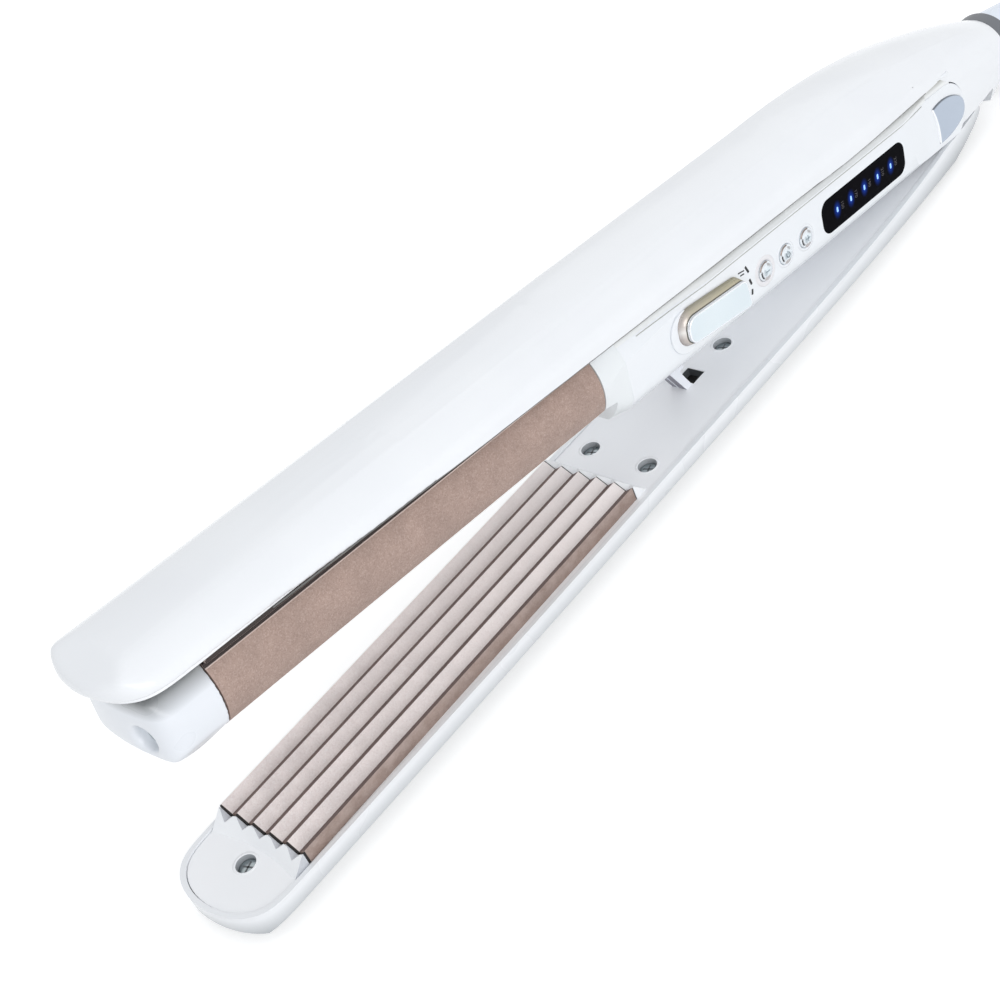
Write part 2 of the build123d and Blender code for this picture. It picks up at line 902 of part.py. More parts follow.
# Handle housing: a tub with rounded lower corners, drawn in at the hinge and rounded about its axis
housing_rear = hinge_reach + boss_radius
button_spots = [(button_front + index * button_pitch, button_height) for index in range(button_count)]
cheek_floor = boss_half + cheek_proud - cheek_thickness


def cheek_outline():
    with BuildSketch() as outline:
        with BuildLine():
            upper = ThreePointArc(
                (cheek_front, hinge_height + cheek_top - cheek_front_drop),
                (hinge_reach + cheek_middle, hinge_height + cheek_top),
                (hinge_reach + cheek_shoulder[0], hinge_height + cheek_shoulder[1]),
            )
            rear = ThreePointArc(
                upper @ 1,
                (hinge_reach + cheek_radius, hinge_height),
                (hinge_reach + cheek_hip[0], hinge_height + cheek_hip[1]),
            )
            lower = ThreePointArc(
                rear @ 1,
                (hinge_reach + cheek_middle, hinge_height - cheek_foot + cheek_front_drop),
                (cheek_front + cheek_foot_run, hinge_height - cheek_foot),
            )
            ThreePointArc(lower @ 1, (cheek_front + cheek_waist_run, hinge_height), upper @ 0)
        make_face()
    return outline.sketch


def handle_plan():
    with BuildSketch() as plan:
        with BuildLine():
            Line((handle_front, -handle_half), (handle_straight_end, -handle_half))
            Spline(
                (handle_straight_end, -handle_half),
                (cheek_front, -boss_half),
                tangents=[(1, 0), (1, 0)],
            )
            Line((cheek_front, -boss_half), (housing_rear, -boss_half))
            Line((housing_rear, -boss_half), (housing_rear, 0))
            Line((handle_front, -handle_half), (handle_front, 0))
            mirror(about=Plane.XZ)
        make_face()
    return plan.sketch


def window_outline(inset):
    with BuildSketch() as outline:
        with Locations((window_front + window_length / 2, window_height)):
            Rectangle(window_length - 2 * inset, window_width - 2 * inset)
        fillet(outline.vertices().group_by(Axis.X)[-1], window_end_round - inset)
        left_corners = outline.vertices().group_by(Axis.X)[0].sort_by(Axis.Y)
        fillet(left_corners[0], window_foot_round - inset)
        fillet(left_corners[1], window_brow_round - inset)
    return outline.sketch


cheek_shape = cheek_outline()

with BuildPart() as handle_housing:
    with BuildSketch(across(body, handle_front)) as housing_section:
        with Locations((0, (handle_top + handle_bottom) / 2)):
            Rectangle(2 * handle_half, handle_top - handle_bottom)
        fillet(housing_section.vertices().group_by(Axis.Y)[0], handle_corner)
    extrude(amount=housing_rear - handle_front)
    with BuildSketch(beside(body, 0)):
        with BuildLine():
            Line((handle_front, handle_bottom), (hinge_reach, handle_bottom))
            Line((hinge_reach, handle_bottom), on_hinge(-90, boss_radius))
            ThreePointArc(on_hinge(-90, boss_radius), on_hinge(0, boss_radius), on_hinge(90, boss_radius))
            Line(on_hinge(90, boss_radius), (hinge_reach, handle_top))
            Line((hinge_reach, handle_top), (handle_front, handle_top))
            Line((handle_front, handle_top), (handle_front, handle_bottom))
        make_face()
    extrude(amount=handle_half, both=True, mode=Mode.INTERSECT)
    with BuildSketch(level(body, handle_bottom - cut_margin)):
        add(handle_plan())
    extrude(amount=handle_top - handle_bottom + 2 * cut_margin, mode=Mode.INTERSECT)
    add(shoulder_ease.part, mode=Mode.SUBTRACT)
    with BuildSketch(level(body, handle_bottom + handle_wall)):
        with Locations(((handle_front + slot_front) / 2, 0)):
            Rectangle(slot_front - handle_front - 2 * handle_end_wall, 2 * (handle_half - handle_wall))
    extrude(amount=handle_top - handle_bottom, mode=Mode.SUBTRACT)
    with BuildSketch(level(body, handle_bottom - cut_margin)):
        with Locations(((slot_front + housing_rear) / 2 + cut_margin, 0)):
            Rectangle(housing_rear - slot_front + 2 * cut_margin, 2 * ear_inner_half)
        with Locations(((hook_slot_front + hook_slot_rear) / 2, 0)):
            Rectangle(hook_slot_rear - hook_slot_front, 2 * hook_slot_half)
    extrude(amount=handle_wall + 2 * cut_margin, mode=Mode.SUBTRACT)
    with BuildSketch(level(body, handle_bottom)):
        with Locations(((slot_front + housing_rear) / 2 + cut_margin, 0)):
            Rectangle(housing_rear - slot_front + 2 * cut_margin, 2 * ear_inner_half)
    extrude(amount=handle_top - handle_bottom + cut_margin, mode=Mode.SUBTRACT)
    with BuildSketch(beside(body, 0)):
        with Locations((hinge_reach, hinge_height)):
            Circle(pin_radius + running_gap)
    extrude(amount=boss_half, both=True, mode=Mode.SUBTRACT)
    with BuildSketch(beside(body, -boss_half)):
        add(cheek_shape)
    extrude(amount=cheek_proud - cheek_thickness, mode=Mode.SUBTRACT)
    with BuildSketch(beside(body, boss_half)):
        add(cheek_shape)
    extrude(amount=cheek_thickness - cheek_proud, mode=Mode.SUBTRACT)
    with BuildSketch(beside(body, -handle_half)):
        with Locations(*button_spots):
            Circle(button_radius + running_gap)
        with Locations((lever_reach, lever_height)):
            Circle(lever_shaft_radius + running_gap)
        add(window_outline(window_ledge))
    extrude(amount=-handle_wall, mode=Mode.SUBTRACT)
    with BuildSketch(beside(body, -handle_half)):
        add(window_outline(0))
    extrude(amount=-window_thickness, mode=Mode.SUBTRACT)

handle_housing.part.label = "handle_housing"
export_step(handle_housing.part, "parts/handle_housing.step")

# Deck that closes the housing, its sides sloping in from the housing's edges
with BuildPart() as handle_deck:
    with BuildSketch(across(body, handle_front)):
        with BuildLine():
            Polyline(
                (-handle_half, handle_top),
                (handle_half, handle_top),
                (deck_half, deck_top),
                (-deck_half, deck_top),
                close=True,
            )
        make_face()
    extrude(amount=deck_rear - handle_front)
    with BuildSketch(level(body, handle_top)):
        add(handle_plan())
    extrude(amount=deck_top - handle_top, mode=Mode.INTERSECT)
    add(shoulder_ease.part, mode=Mode.SUBTRACT)
    with Locations(level(body, deck_top)):
        with Locations(*[(reach, 0) for reach in deck_screw_reaches]):
            CounterBoreHole(screw_hole_radius, deck_screw_radius, screw_head_height, deck_top - handle_top)

handle_deck.part.label = "handle_deck"
export_step(handle_deck.part, "parts/handle_deck.step")

with BuildPart() as deck_screws:
    with BuildSketch(level(body, deck_top - screw_head_height)):
        with Locations(*[(reach, 0) for reach in deck_screw_reaches]):
            Circle(deck_screw_radius - seat_gap)
    extrude(amount=screw_head_height - seat_gap)
    with BuildSketch(level(body, deck_top - screw_head_height)):
        with Locations(*[(reach, 0) for reach in deck_screw_reaches]):
            Circle(screw_shaft_radius)
    extrude(amount=-deck_screw_length)

deck_screws.part.label = "deck_screws"
export_step(deck_screws.part, "parts/deck_screws.step")

# Buttons, each a disc on the near face with a flange behind the wall
button_inner = handle_half - handle_wall - seat_gap
for name, spot in zip(("minus_button", "power_button", "plus_button"), button_spots):
    with BuildPart() as button:
        with BuildSketch(beside(body, -handle_half - button_proud)):
            with Locations(spot):
                Circle(button_radius)
        extrude(amount=-(handle_half + button_proud - button_inner))
        with BuildSketch(beside(body, -button_inner)):
            with Locations(spot):
                Circle(button_radius + button_flange)
        extrude(amount=-button_flange)
    button.part.label = name
    export_step(button.part, f"parts/{name}.step")

# Board with a switch behind each button and a light behind each window mark
light_front = window_front + window_length / 2 - light_pitch * (light_count - 1) / 2
switch_height = button_inner - button_flange - button_travel - seat_gap - board_half
with BuildPart() as circuit_board:
    with BuildSketch(beside(body, -board_half)):
        with Locations(((board_front + board_rear) / 2, button_height)):
            Rectangle(board_rear - board_front, board_width)
    extrude(amount=-board_thickness)

circuit_board.part.label = "circuit_board"
export_step(circuit_board.part, "parts/circuit_board.step")

with BuildPart() as button_switches:
    with BuildSketch(beside(body, -board_half)):
        with Locations(*button_spots):
            Circle(switch_radius)
    extrude(amount=switch_height)

button_switches.part.label = "button_switches"
export_step(button_switches.part, "parts/button_switches.step")

with BuildPart() as display_lights:
    with BuildSketch(beside(body, -board_half)):
        with Locations((light_front + light_pitch * (light_count - 1) / 2, window_height)):
            with GridLocations(light_pitch, 0, light_count, 1):
                Rectangle(light_length, light_width)
    extrude(amount=light_height)

display_lights.part.label = "display_lights"
export_step(display_lights.part, "parts/display_lights.step")

with BuildPart() as display_window:
    with BuildSketch(beside(body, -handle_half)):
        add(window_outline(window_gap))
    extrude(amount=-window_thickness)

display_window.part.label = "display_window"
export_step(display_window.part, "parts/display_window.step")

# Mode lever on its round base, with the shaft and crank inside the handle
lever_face = handle_half + lever_base_height + swing_gap
lever_frame = Plane(
    origin=body.from_local_coords((lever_reach, 0, lever_height)),
    x_dir=body.x_dir * cos(radians(lever_rest_angle)) + body.z_dir * sin(radians(lever_rest_angle)),
    z_dir=-body.y_dir,
)


def lever_level(distance):
    return lever_frame.offset(distance)


with BuildPart() as lever_base:
    with BuildSketch(beside(body, -handle_half)):
        with Locations((lever_reach, lever_height)):
            Circle(lever_base_radius)
            Circle(lever_shaft_radius + running_gap, mode=Mode.SUBTRACT)
    extrude(amount=lever_base_height)

lever_base.part.label = "lever_base"
export_step(lever_base.part, "parts/lever_base.step")

crank_inner = handle_half - handle_wall - swing_gap
with BuildPart() as mode_lever:
    with BuildSketch(lever_level(lever_face)) as lever_section:
        with Locations(((lever_back - lever_front_round) / 2, 0)):
            Rectangle(lever_back + lever_front_round, lever_width)
        fillet(lever_section.vertices().group_by(Axis.X)[0], lever_front_round - lever_front_flat)
        fillet(lever_section.vertices().group_by(Axis.X)[-1], lever_end_round)
    extrude(amount=lever_thickness)
    fillet(mode_lever.faces().sort_by(Axis.Y)[0].edges(), lever_edge_round)
    with BuildSketch(lever_level(lever_face)):
        Circle(lever_shaft_radius)
    extrude(amount=-(lever_face - crank_inner))
    with BuildSketch(beside(body, -crank_inner)):
        with Locations((lever_reach, lever_height)):
            Circle(crank_radius)
        with BuildLine():
            Polyline(
                (lever_reach - crank_radius / 2, lever_height),
                (lever_reach + crank_radius / 2, lever_height),
                (lever_reach + crank_radius / 2, lever_height - crank_reach - crank_pin_radius - crank_rim),
                (lever_reach - crank_radius / 2, lever_height - crank_reach - crank_pin_radius - crank_rim),
                close=True,
            )
        make_face()
    extrude(amount=-crank_thickness)
    with BuildSketch(beside(body, -crank_inner + crank_thickness)):
        with Locations((lever_reach, lever_height - crank_reach)):
            Circle(crank_pin_radius)
    extrude(amount=-fork_thickness - swing_gap / 2)

mode_lever.part.label = "mode_lever"
export_step(mode_lever.part, "parts/mode_lever.step")

# Latch slider: a bar beside the hook with a tongue across its front and a fork on the crank pin
fork_face = crank_inner - crank_thickness - swing_gap
fork_slot_width = 2 * (crank_pin_radius + swing_gap)
fork_slot_height = 2 * (crank_pin_radius + swing_gap)
with BuildPart() as latch_slider:
    with BuildSketch(beside(body, -fork_face)):
        with BuildLine():
            Polyline(
                (lever_reach - fork_half, slider_bottom),
                (lever_reach + fork_half, slider_bottom),
                (lever_reach + fork_half, slider_top),
                (lever_reach - fork_half, slider_top),
                close=True,
            )
        make_face()
        with Locations((lever_reach, lever_height - crank_reach)):
            Rectangle(fork_slot_width, fork_slot_height, mode=Mode.SUBTRACT)
    extrude(amount=-fork_thickness)
    with BuildSketch(level(body, tongue_height - slider_thickness / 2)):
        with BuildLine():
            Polyline(
                (lever_reach - fork_half, -fork_face + fork_thickness),
                (lever_reach - fork_half, hook_half),
                (hook_front - swing_gap, hook_half),
                (hook_front - swing_gap, -hook_slot_half - tongue_side),
                (lever_reach + fork_half, -hook_slot_half - tongue_side),
                (lever_reach + fork_half, -fork_face + fork_thickness),
                close=True,
            )
        make_face()
    extrude(amount=slider_thickness)

latch_slider.part.label = "latch_slider"
export_step(latch_slider.part, "parts/latch_slider.step")

# Chrome cheeks over the ends of the hinge pin
with BuildPart() as hinge_cheek_near:
    with BuildSketch(beside(body, -cheek_floor)):
        add(cheek_shape)
    extrude(amount=cheek_thickness)

hinge_cheek_near.part.label = "hinge_cheek_near"
export_step(hinge_cheek_near.part, "parts/hinge_cheek_near.step")

with BuildPart() as hinge_cheek_far:
    mirror(hinge_cheek_near.part, about=Plane.XZ)

hinge_cheek_far.part.label = "hinge_cheek_far"
export_step(hinge_cheek_far.part, "parts/hinge_cheek_far.step")

with BuildPart() as hinge_pin:
    with BuildSketch(beside(body, 0)):
        with Locations((hinge_reach, hinge_height)):
            Circle(pin_radius)
    extrude(amount=cheek_floor - seat_gap, both=True)

hinge_pin.part.label = "hinge_pin"
export_step(hinge_pin.part, "parts/hinge_pin.step")

with BuildPart() as opening_spring:
    with BuildSketch(beside(body, 0)):
        with Locations((hinge_reach, hinge_height)):
            Circle(spring_radius)
            Circle(pin_radius + seat_gap, mode=Mode.SUBTRACT)
    extrude(amount=spring_half, both=True)

opening_spring.part.label = "opening_spring"
export_step(opening_spring.part, "parts/opening_spring.step")

# Top cover and neck: faceted sections that round off towards the ring, cut open below for the middle part


def toward(start, end, distance):
    share = distance / dist(start, end)
    return (start[0] + (end[0] - start[0]) * share, start[1] + (end[1] - start[1]) * share)


def rolled(foot, rim, crease):
    return (foot, toward(rim, foot, rim_roll), toward(rim, crease, rim_roll), crease)


def shell_station(reach, corners, bows):
    foot, wall_end, flank_start, crease = corners
    foot_bow, wall_bow, roll_bow, flank_bow, crown_bow = bows
    with BuildSketch(across(body, reach)) as station:
        with BuildLine():
            SagittaArc((-foot[0], foot[1]), foot, -foot_bow)
            SagittaArc(foot, wall_end, -wall_bow)
            SagittaArc(wall_end, flank_start, -roll_bow)
            SagittaArc(flank_start, crease, -flank_bow)
            SagittaArc(crease, (-crease[0], crease[1]), -crown_bow)
            SagittaArc((-crease[0], crease[1]), (-flank_start[0], flank_start[1]), -flank_bow)
            SagittaArc((-flank_start[0], flank_start[1]), (-wall_end[0], wall_end[1]), -roll_bow)
            SagittaArc((-wall_end[0], wall_end[1]), (-foot[0], foot[1]), -wall_bow)
        make_face()
    return station.sketch


def on_ring(angle):
    return (ring_radius * cos(radians(angle)), hinge_height + ring_radius * sin(radians(angle)))


def ring_bow(start, end):
    return ring_radius * (1 - cos(radians((end - start) / 2)))


straight_bows = (faint_bow, faint_bow, rim_bow, flank_bow, crown_bow)
full_station = shell_station(
    full_reach,
    rolled((full_half, shell_foot), (full_half, full_rim), (crease_half, full_crease)),
    straight_bows,
)
front_stations = [
    shell_station(
        -nose_length - seat_gap,
        rolled((tip_half, shell_foot), (tip_half, front_rim), (crease_half, tip_crease)),
        straight_bows,
    ),
    shell_station(
        mid_reach,
        rolled((full_half, shell_foot), (full_half, front_rim), (crease_half, mid_crease)),
        straight_bows,
    ),
    full_station,
]
rear_stations = [
    full_station,
    shell_station(
        shoulder_reach,
        rolled(
            (shoulder_rim_half, shell_foot),
            (shoulder_rim_half, shoulder_rim),
            (crease_half, full_crease),
        ),
        (faint_bow, faint_bow, rim_bow, flank_bow, shoulder_crown),
    ),
    shell_station(
        merge_reach,
        rolled((merge_half, shell_foot), (merge_half, merge_rim), (crease_half, merge_crease)),
        merge_bows,
    ),
    shell_station(
        neck_reach,
        rolled((neck_foot_half, shell_foot), (neck_half, neck_rim), (neck_crease_half, neck_crease)),
        neck_bows,
    ),
    shell_station(
        ring_front,
        [on_ring(angle) for angle in ring_angles],
        [
            ring_bow(-ring_angles[0], 180 + ring_angles[0]),
            ring_bow(ring_angles[0], ring_angles[1]),
            ring_bow(ring_angles[1], ring_angles[2]),
            ring_bow(ring_angles[2], ring_angles[3]),
            ring_bow(ring_angles[3], 180 - ring_angles[3]),
        ],
    ),
]

swing = radians(opening_angle + straight_angle)
tail_back = tail_end - hinge_reach
tail_depth = rim_top - tail_drop - hinge_height
tail_foot = rim_bottom - hinge_height
pocket_rear = hinge_reach + tail_back * cos(swing) - tail_foot * sin(swing) + swing_gap
pocket_height = hinge_height + tail_back * sin(swing) + tail_depth * cos(swing) + swing_gap
socket_radius = boss_radius + swing_gap
with BuildPart() as top_cover:
    loft(sections=front_stations, ruled=True)
    loft(sections=rear_stations)
    with BuildSketch(level(body, shell_foot - cut_margin)):
        with BuildLine():
            add(nose_curve(0))
            Polyline(
                (0, -front_half),
                (0, -wide_half - cut_margin),
                (ring_front + cut_margin, -wide_half - cut_margin),
                (ring_front + cut_margin, 0),
            )
            mirror(about=Plane.XZ)
        make_face()
    extrude(amount=full_crease - shell_foot + crown_room, mode=Mode.INTERSECT)
    with BuildSketch(beside(body, 0)):
        with BuildLine():
            Polyline(
                (-nose_length - cut_margin, front_rim),
                (-nose_slope_end, mid_crease + crown_bow),
                (-nose_slope_end, mid_crease + crown_room),
                (-nose_length - cut_margin, mid_crease + crown_room),
                close=True,
            )
        make_face()
    extrude(amount=wide_half, both=True, mode=Mode.SUBTRACT)
    with BuildSketch(beside(body, 0)):
        with BuildLine():
            edge = Line((-nose_length - cut_margin, cover_edge_front), (merge_reach, cover_edge_rear))
            Polyline(
                edge @ 1,
                (edge_end_reach, edge_end_height),
                on_hinge(socket_top_angle, socket_radius),
            )
            ThreePointArc(
                on_hinge(socket_top_angle, socket_radius),
                on_hinge(0, socket_radius),
                on_hinge(-socket_foot_angle, socket_radius),
            )
            Polyline(
                on_hinge(-socket_foot_angle, socket_radius),
                (pocket_rear, pocket_height),
                (pocket_rear, shell_foot - cut_margin),
                (-nose_length - cut_margin, shell_foot - cut_margin),
                edge @ 0,
            )
        make_face()
    extrude(amount=wide_half + cut_margin, both=True, mode=Mode.SUBTRACT)
    with BuildSketch(level(body, cover_edge_rear - cut_margin)):
        add(top_outline(top_lip, top_liner_rear))
    extrude(amount=top_liner_top - cover_edge_rear + cut_margin, mode=Mode.SUBTRACT)
    with BuildSketch(across(body, 0)):
        with BuildLine():
            Polyline(
                (-crease_half - vault_spread, top_liner_top),
                (-crease_half, tip_crease - cover_wall),
                (crease_half, tip_crease - cover_wall),
                (crease_half + vault_spread, top_liner_top),
                close=True,
            )
        make_face()
    extrude(amount=top_liner_rear - 2 * cover_wall, mode=Mode.SUBTRACT)
    for side_sign in (-1, 1):
        crease_origin = body.from_local_coords(
            (crease_start[0], side_sign * crease_start[1], crease_start[2])
        )
        crease_end = body.from_local_coords(
            (crease_stop[0], side_sign * crease_stop[1], crease_stop[2])
        )
        crease_span = crease_end - crease_origin
        with BuildSketch(Plane(origin=crease_origin, z_dir=crease_span)):
            Circle(crease_start_radius)
        extrude(
            amount=crease_span.length,
            taper=degrees(atan((crease_start_radius - crease_stop_radius) / crease_span.length)),
            mode=Mode.SUBTRACT,
        )
        with BuildSketch(beside(body, side_sign * (neck_lug_inner + neck_lug_outer) / 2)):
            add(lug_profile(neck_lug_radius, socket_radius + lug_root, neck_lug_radius))
        extrude(amount=(neck_lug_outer - neck_lug_inner) / 2, both=True)
    with BuildSketch(beside(body, 0)):
        with Locations((hinge_reach, hinge_height)):
            Circle(pin_radius)
    extrude(amount=neck_lug_outer + cut_margin, both=True, mode=Mode.SUBTRACT)
    with BuildSketch(across(body, ring_front)):
        with Locations((0, hinge_height)):
            Circle(swivel_stem_radius + running_gap)
    extrude(amount=-swivel_stem_length - seat_gap, mode=Mode.SUBTRACT)
    with BuildSketch(level(body, top_liner_top)):
        with Locations(*top_screw_spots):
            Circle(screw_hole_radius)
    extrude(amount=top_screw_length, mode=Mode.SUBTRACT)

top_cover.part.label = "top_cover"
export_step(top_cover.part, "parts/top_cover.step")

# Inner liner of the top arm, stepped down behind the plate towards the handle's deck
with BuildPart() as top_arm_liner:
    with BuildSketch(level(body, top_liner_step)):
        add(top_outline(top_lip + seat_gap, top_liner_rear - seat_gap))
    extrude(amount=top_liner_top - top_liner_step)
    with BuildSketch(beside(body, 0)):
        with BuildLine():
            Polyline(
                (-nose_length, top_liner_step),
                (-nose_length, top_liner_bottom),
                (handle_front, top_liner_bottom),
                (handle_front, top_liner_step),
                close=True,
            )
        make_face()
    extrude(amount=wide_half, both=True, mode=Mode.SUBTRACT)
    with BuildSketch(level(body, top_liner_bottom)):
        with Locations((plate_length / 2, 0)):
            Rectangle(plate_length + 2 * seat_gap, 2 * (straight_plate_half - plate_ledge + seat_gap))
    extrude(amount=straight_plate_skirt, mode=Mode.SUBTRACT)
    with BuildSketch(level(body, top_liner_bottom)):
        with Locations((plate_length / 2, 0)):
            Rectangle(heater_length + 2 * seat_gap, heater_width + 2 * seat_gap)
    extrude(amount=top_liner_top - top_liner_bottom, mode=Mode.SUBTRACT)
    with BuildSketch(level(body, top_liner_bottom)):
        with Locations(*top_screw_spots[:1]):
            Circle(arm_screw_radius)
    extrude(amount=arm_screw_depth, mode=Mode.SUBTRACT)
    with BuildSketch(level(body, top_liner_step)):
        with Locations(*top_screw_spots[1:]):
            Circle(arm_screw_radius)
    extrude(amount=top_liner_bottom + arm_screw_depth - top_liner_step, mode=Mode.SUBTRACT)
    with BuildSketch(level(body, top_liner_bottom)):
        with Locations(*top_screw_spots):
            Circle(screw_hole_radius)
    extrude(amount=top_liner_top - top_liner_bottom, mode=Mode.SUBTRACT)

top_arm_liner.part.label = "top_arm_liner"
export_step(top_arm_liner.part, "parts/top_arm_liner.step")

with BuildPart() as top_arm_screws:
    with BuildSketch(level(body, top_liner_bottom + arm_screw_depth)):
        with Locations(*top_screw_spots):
            Circle(arm_screw_radius - seat_gap)
    extrude(amount=-screw_head_height)
    with BuildSketch(level(body, top_liner_bottom + arm_screw_depth)):
        with Locations(*top_screw_spots):
            Circle(screw_shaft_radius)
    extrude(amount=top_screw_length - seat_gap)

top_arm_screws.part.label = "top_arm_screws"
export_step(top_arm_screws.part, "parts/top_arm_screws.step")

# Straightening plate, a flat face on a skirt that sits in the liner's pocket
with BuildPart() as straight_plate:
    with BuildSketch(level(body, barrel_top + face_gap)):
        with Locations((plate_length / 2, 0)):
            Rectangle(plate_length, 2 * straight_plate_half)
    extrude(amount=top_liner_bottom - barrel_top - face_gap)
    with BuildSketch(level(body, top_liner_bottom)):
        with Locations((plate_length / 2, 0)):
            Rectangle(plate_length, 2 * (straight_plate_half - plate_ledge))
    extrude(amount=straight_plate_skirt)

straight_plate.part.label = "straight_plate"
export_step(straight_plate.part, "parts/straight_plate.step")

with BuildPart() as top_arm_heater:
    with BuildSketch(level(body, top_liner_bottom + straight_plate_skirt)):
        with Locations((plate_length / 2, 0)):
            Rectangle(heater_length, heater_width)
    extrude(amount=heater_thickness)

top_arm_heater.part.label = "top_arm_heater"
export_step(top_arm_heater.part, "parts/top_arm_heater.step")

# Ring at the neck's end and the cord swivel that turns in it
with BuildPart() as swivel_ring:
    with BuildSketch(across(body, ring_front)):
        with Locations((0, hinge_height)):
            Circle(ring_radius)
            Circle(swivel_stem_radius + running_gap, mode=Mode.SUBTRACT)
    extrude(amount=ring_width)

swivel_ring.part.label = "swivel_ring"
export_step(swivel_ring.part, "parts/swivel_ring.step")

swivel_front = ring_front + ring_width + seat_gap
with BuildPart() as swivel_nose:
    with BuildSketch(beside(body, 0)):
        with BuildLine():
            Polyline(
                (ring_front - swivel_stem_length, hinge_height),
                (ring_front - swivel_stem_length, hinge_height + swivel_stem_radius),
                (swivel_front, hinge_height + swivel_stem_radius),
                (swivel_front, hinge_height + swivel_radius),
                (swivel_front + swivel_length, hinge_height + swivel_end_radius),
                (swivel_front + swivel_length, hinge_height + cord_bore_radius),
                (swivel_front + swivel_length - cord_bore_length, hinge_height + cord_bore_radius),
                (swivel_front + swivel_length - cord_bore_length, hinge_height),
                close=True,
            )
        make_face()
    revolve(axis=Axis(body.from_local_coords((0, 0, hinge_height)), body.x_dir))

swivel_nose.part.label = "swivel_nose"
export_step(swivel_nose.part, "parts/swivel_nose.step")
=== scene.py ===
import json
import math
import bmesh
import bpy
from mathutils import Matrix, Vector
from mathutils.bvhtree import BVHTree


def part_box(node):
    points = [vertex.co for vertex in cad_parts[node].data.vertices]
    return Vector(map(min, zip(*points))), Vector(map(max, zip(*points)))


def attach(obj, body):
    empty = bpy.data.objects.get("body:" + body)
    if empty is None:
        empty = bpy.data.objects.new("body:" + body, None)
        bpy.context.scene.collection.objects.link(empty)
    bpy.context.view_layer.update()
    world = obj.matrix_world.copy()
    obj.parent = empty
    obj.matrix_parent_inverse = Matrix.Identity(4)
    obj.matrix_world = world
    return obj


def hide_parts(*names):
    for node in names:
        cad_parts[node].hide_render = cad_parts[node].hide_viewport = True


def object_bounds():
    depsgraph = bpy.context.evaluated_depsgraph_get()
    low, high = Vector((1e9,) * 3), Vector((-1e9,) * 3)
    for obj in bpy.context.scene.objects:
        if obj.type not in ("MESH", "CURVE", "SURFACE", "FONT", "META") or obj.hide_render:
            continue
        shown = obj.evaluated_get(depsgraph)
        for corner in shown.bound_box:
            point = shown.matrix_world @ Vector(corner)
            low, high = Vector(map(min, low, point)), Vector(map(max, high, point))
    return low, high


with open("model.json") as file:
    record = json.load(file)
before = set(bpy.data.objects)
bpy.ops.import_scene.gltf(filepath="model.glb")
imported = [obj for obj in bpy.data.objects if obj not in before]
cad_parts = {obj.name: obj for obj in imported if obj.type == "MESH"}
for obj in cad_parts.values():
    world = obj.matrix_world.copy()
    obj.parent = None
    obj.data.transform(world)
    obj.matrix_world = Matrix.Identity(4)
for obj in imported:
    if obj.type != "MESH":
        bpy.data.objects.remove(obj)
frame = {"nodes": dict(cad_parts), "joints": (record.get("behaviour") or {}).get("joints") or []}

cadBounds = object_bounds()
mm = 0.001
joints = {joint["name"]: joint for joint in frame["joints"]}
nodes = frame["nodes"]
print("frame loaded, nodes:", len(nodes))


def newObject(name, data):
    thing = bpy.data.objects.new(name, data)
    bpy.context.scene.collection.objects.link(thing)
    return thing


# Places: the crimping arm lies level, the middle part and the top arm are turned up about the hinge
hinge = {
    "place": Vector(joints["crimping_hinge"]["pos_m"]),
    "open": math.radians(joints["crimping_hinge"]["range_deg"][1]),
    "reach": 248.5 * mm,   # from the plates' front ends
    "height": 7.0 * mm,    # above the crimping valleys
}
armPlace = Matrix.Translation(hinge["place"] - Vector((hinge["reach"], 0, hinge["height"])))
bodyPlace = (
    Matrix.Translation(hinge["place"])
    @ Matrix.Rotation(hinge["open"], 4, "Y")
    @ Matrix.Translation((-hinge["reach"], 0, -hinge["height"]))
)


# Camera at the photograph's angle
camera = {
    "place": (-0.19717, -0.26629, 0.27279), "turn": (0.86365, 0.33744, -0.85492), "lens": 66.6, "sensor": 36,
    "clip": (0.01, 20),
}
cameraData = bpy.data.cameras.new("camera")
cameraData.lens = camera["lens"]
cameraData.sensor_width = camera["sensor"]
cameraData.clip_start, cameraData.clip_end = camera["clip"]
cameraObject = newObject("camera", cameraData)
cameraObject.location = camera["place"]
cameraObject.rotation_euler = camera["turn"]
bpy.context.scene.camera = cameraObject
bpy.context.scene.view_settings.view_transform = "Standard"


# Shader node groups shared by the materials
def newGroup(name, inputs, outputs):
    group = bpy.data.node_groups.new(name, "ShaderNodeTree")
    kinds = {True: "NodeSocketColor", False: "NodeSocketFloat"}
    for label, value in inputs.items():
        tone = isinstance(value, tuple)
        socket = group.interface.new_socket(name=label, in_out="INPUT", socket_type=kinds[tone])
        socket.default_value = (*value, 1) if tone else value
    for label in outputs:
        group.interface.new_socket(name=label, in_out="OUTPUT", socket_type=kinds[label == "Color"])
    return group, group.nodes.new("NodeGroupInput"), group.nodes.new("NodeGroupOutput")


def setInputs(node, values):
    for key, value in values.items():
        tone = isinstance(value, tuple) and len(value) == 3
        node.inputs[key.replace("_", " ")].default_value = (*value, 1) if tone else value
    return node


def addNode(tree, kind, settings=None, **values):
    node = tree.nodes.new("ShaderNode" + kind)
    for key, value in (settings or {}).items():
        setattr(node, key, value)
    return setInputs(node, values)


def ramp(tree, start, finish, **values):
    return addNode(tree, "MapRange", From_Min=start, From_Max=finish, **values)


def mixColors(tree, mode="MIX", **values):
    return addNode(tree, "Mix", {"data_type": "RGBA", "blend_type": mode}, **values)


def wire(tree, *links):
    for source, output, sink, entry in links:
        tree.links.new(source.outputs[output], sink.inputs[entry])


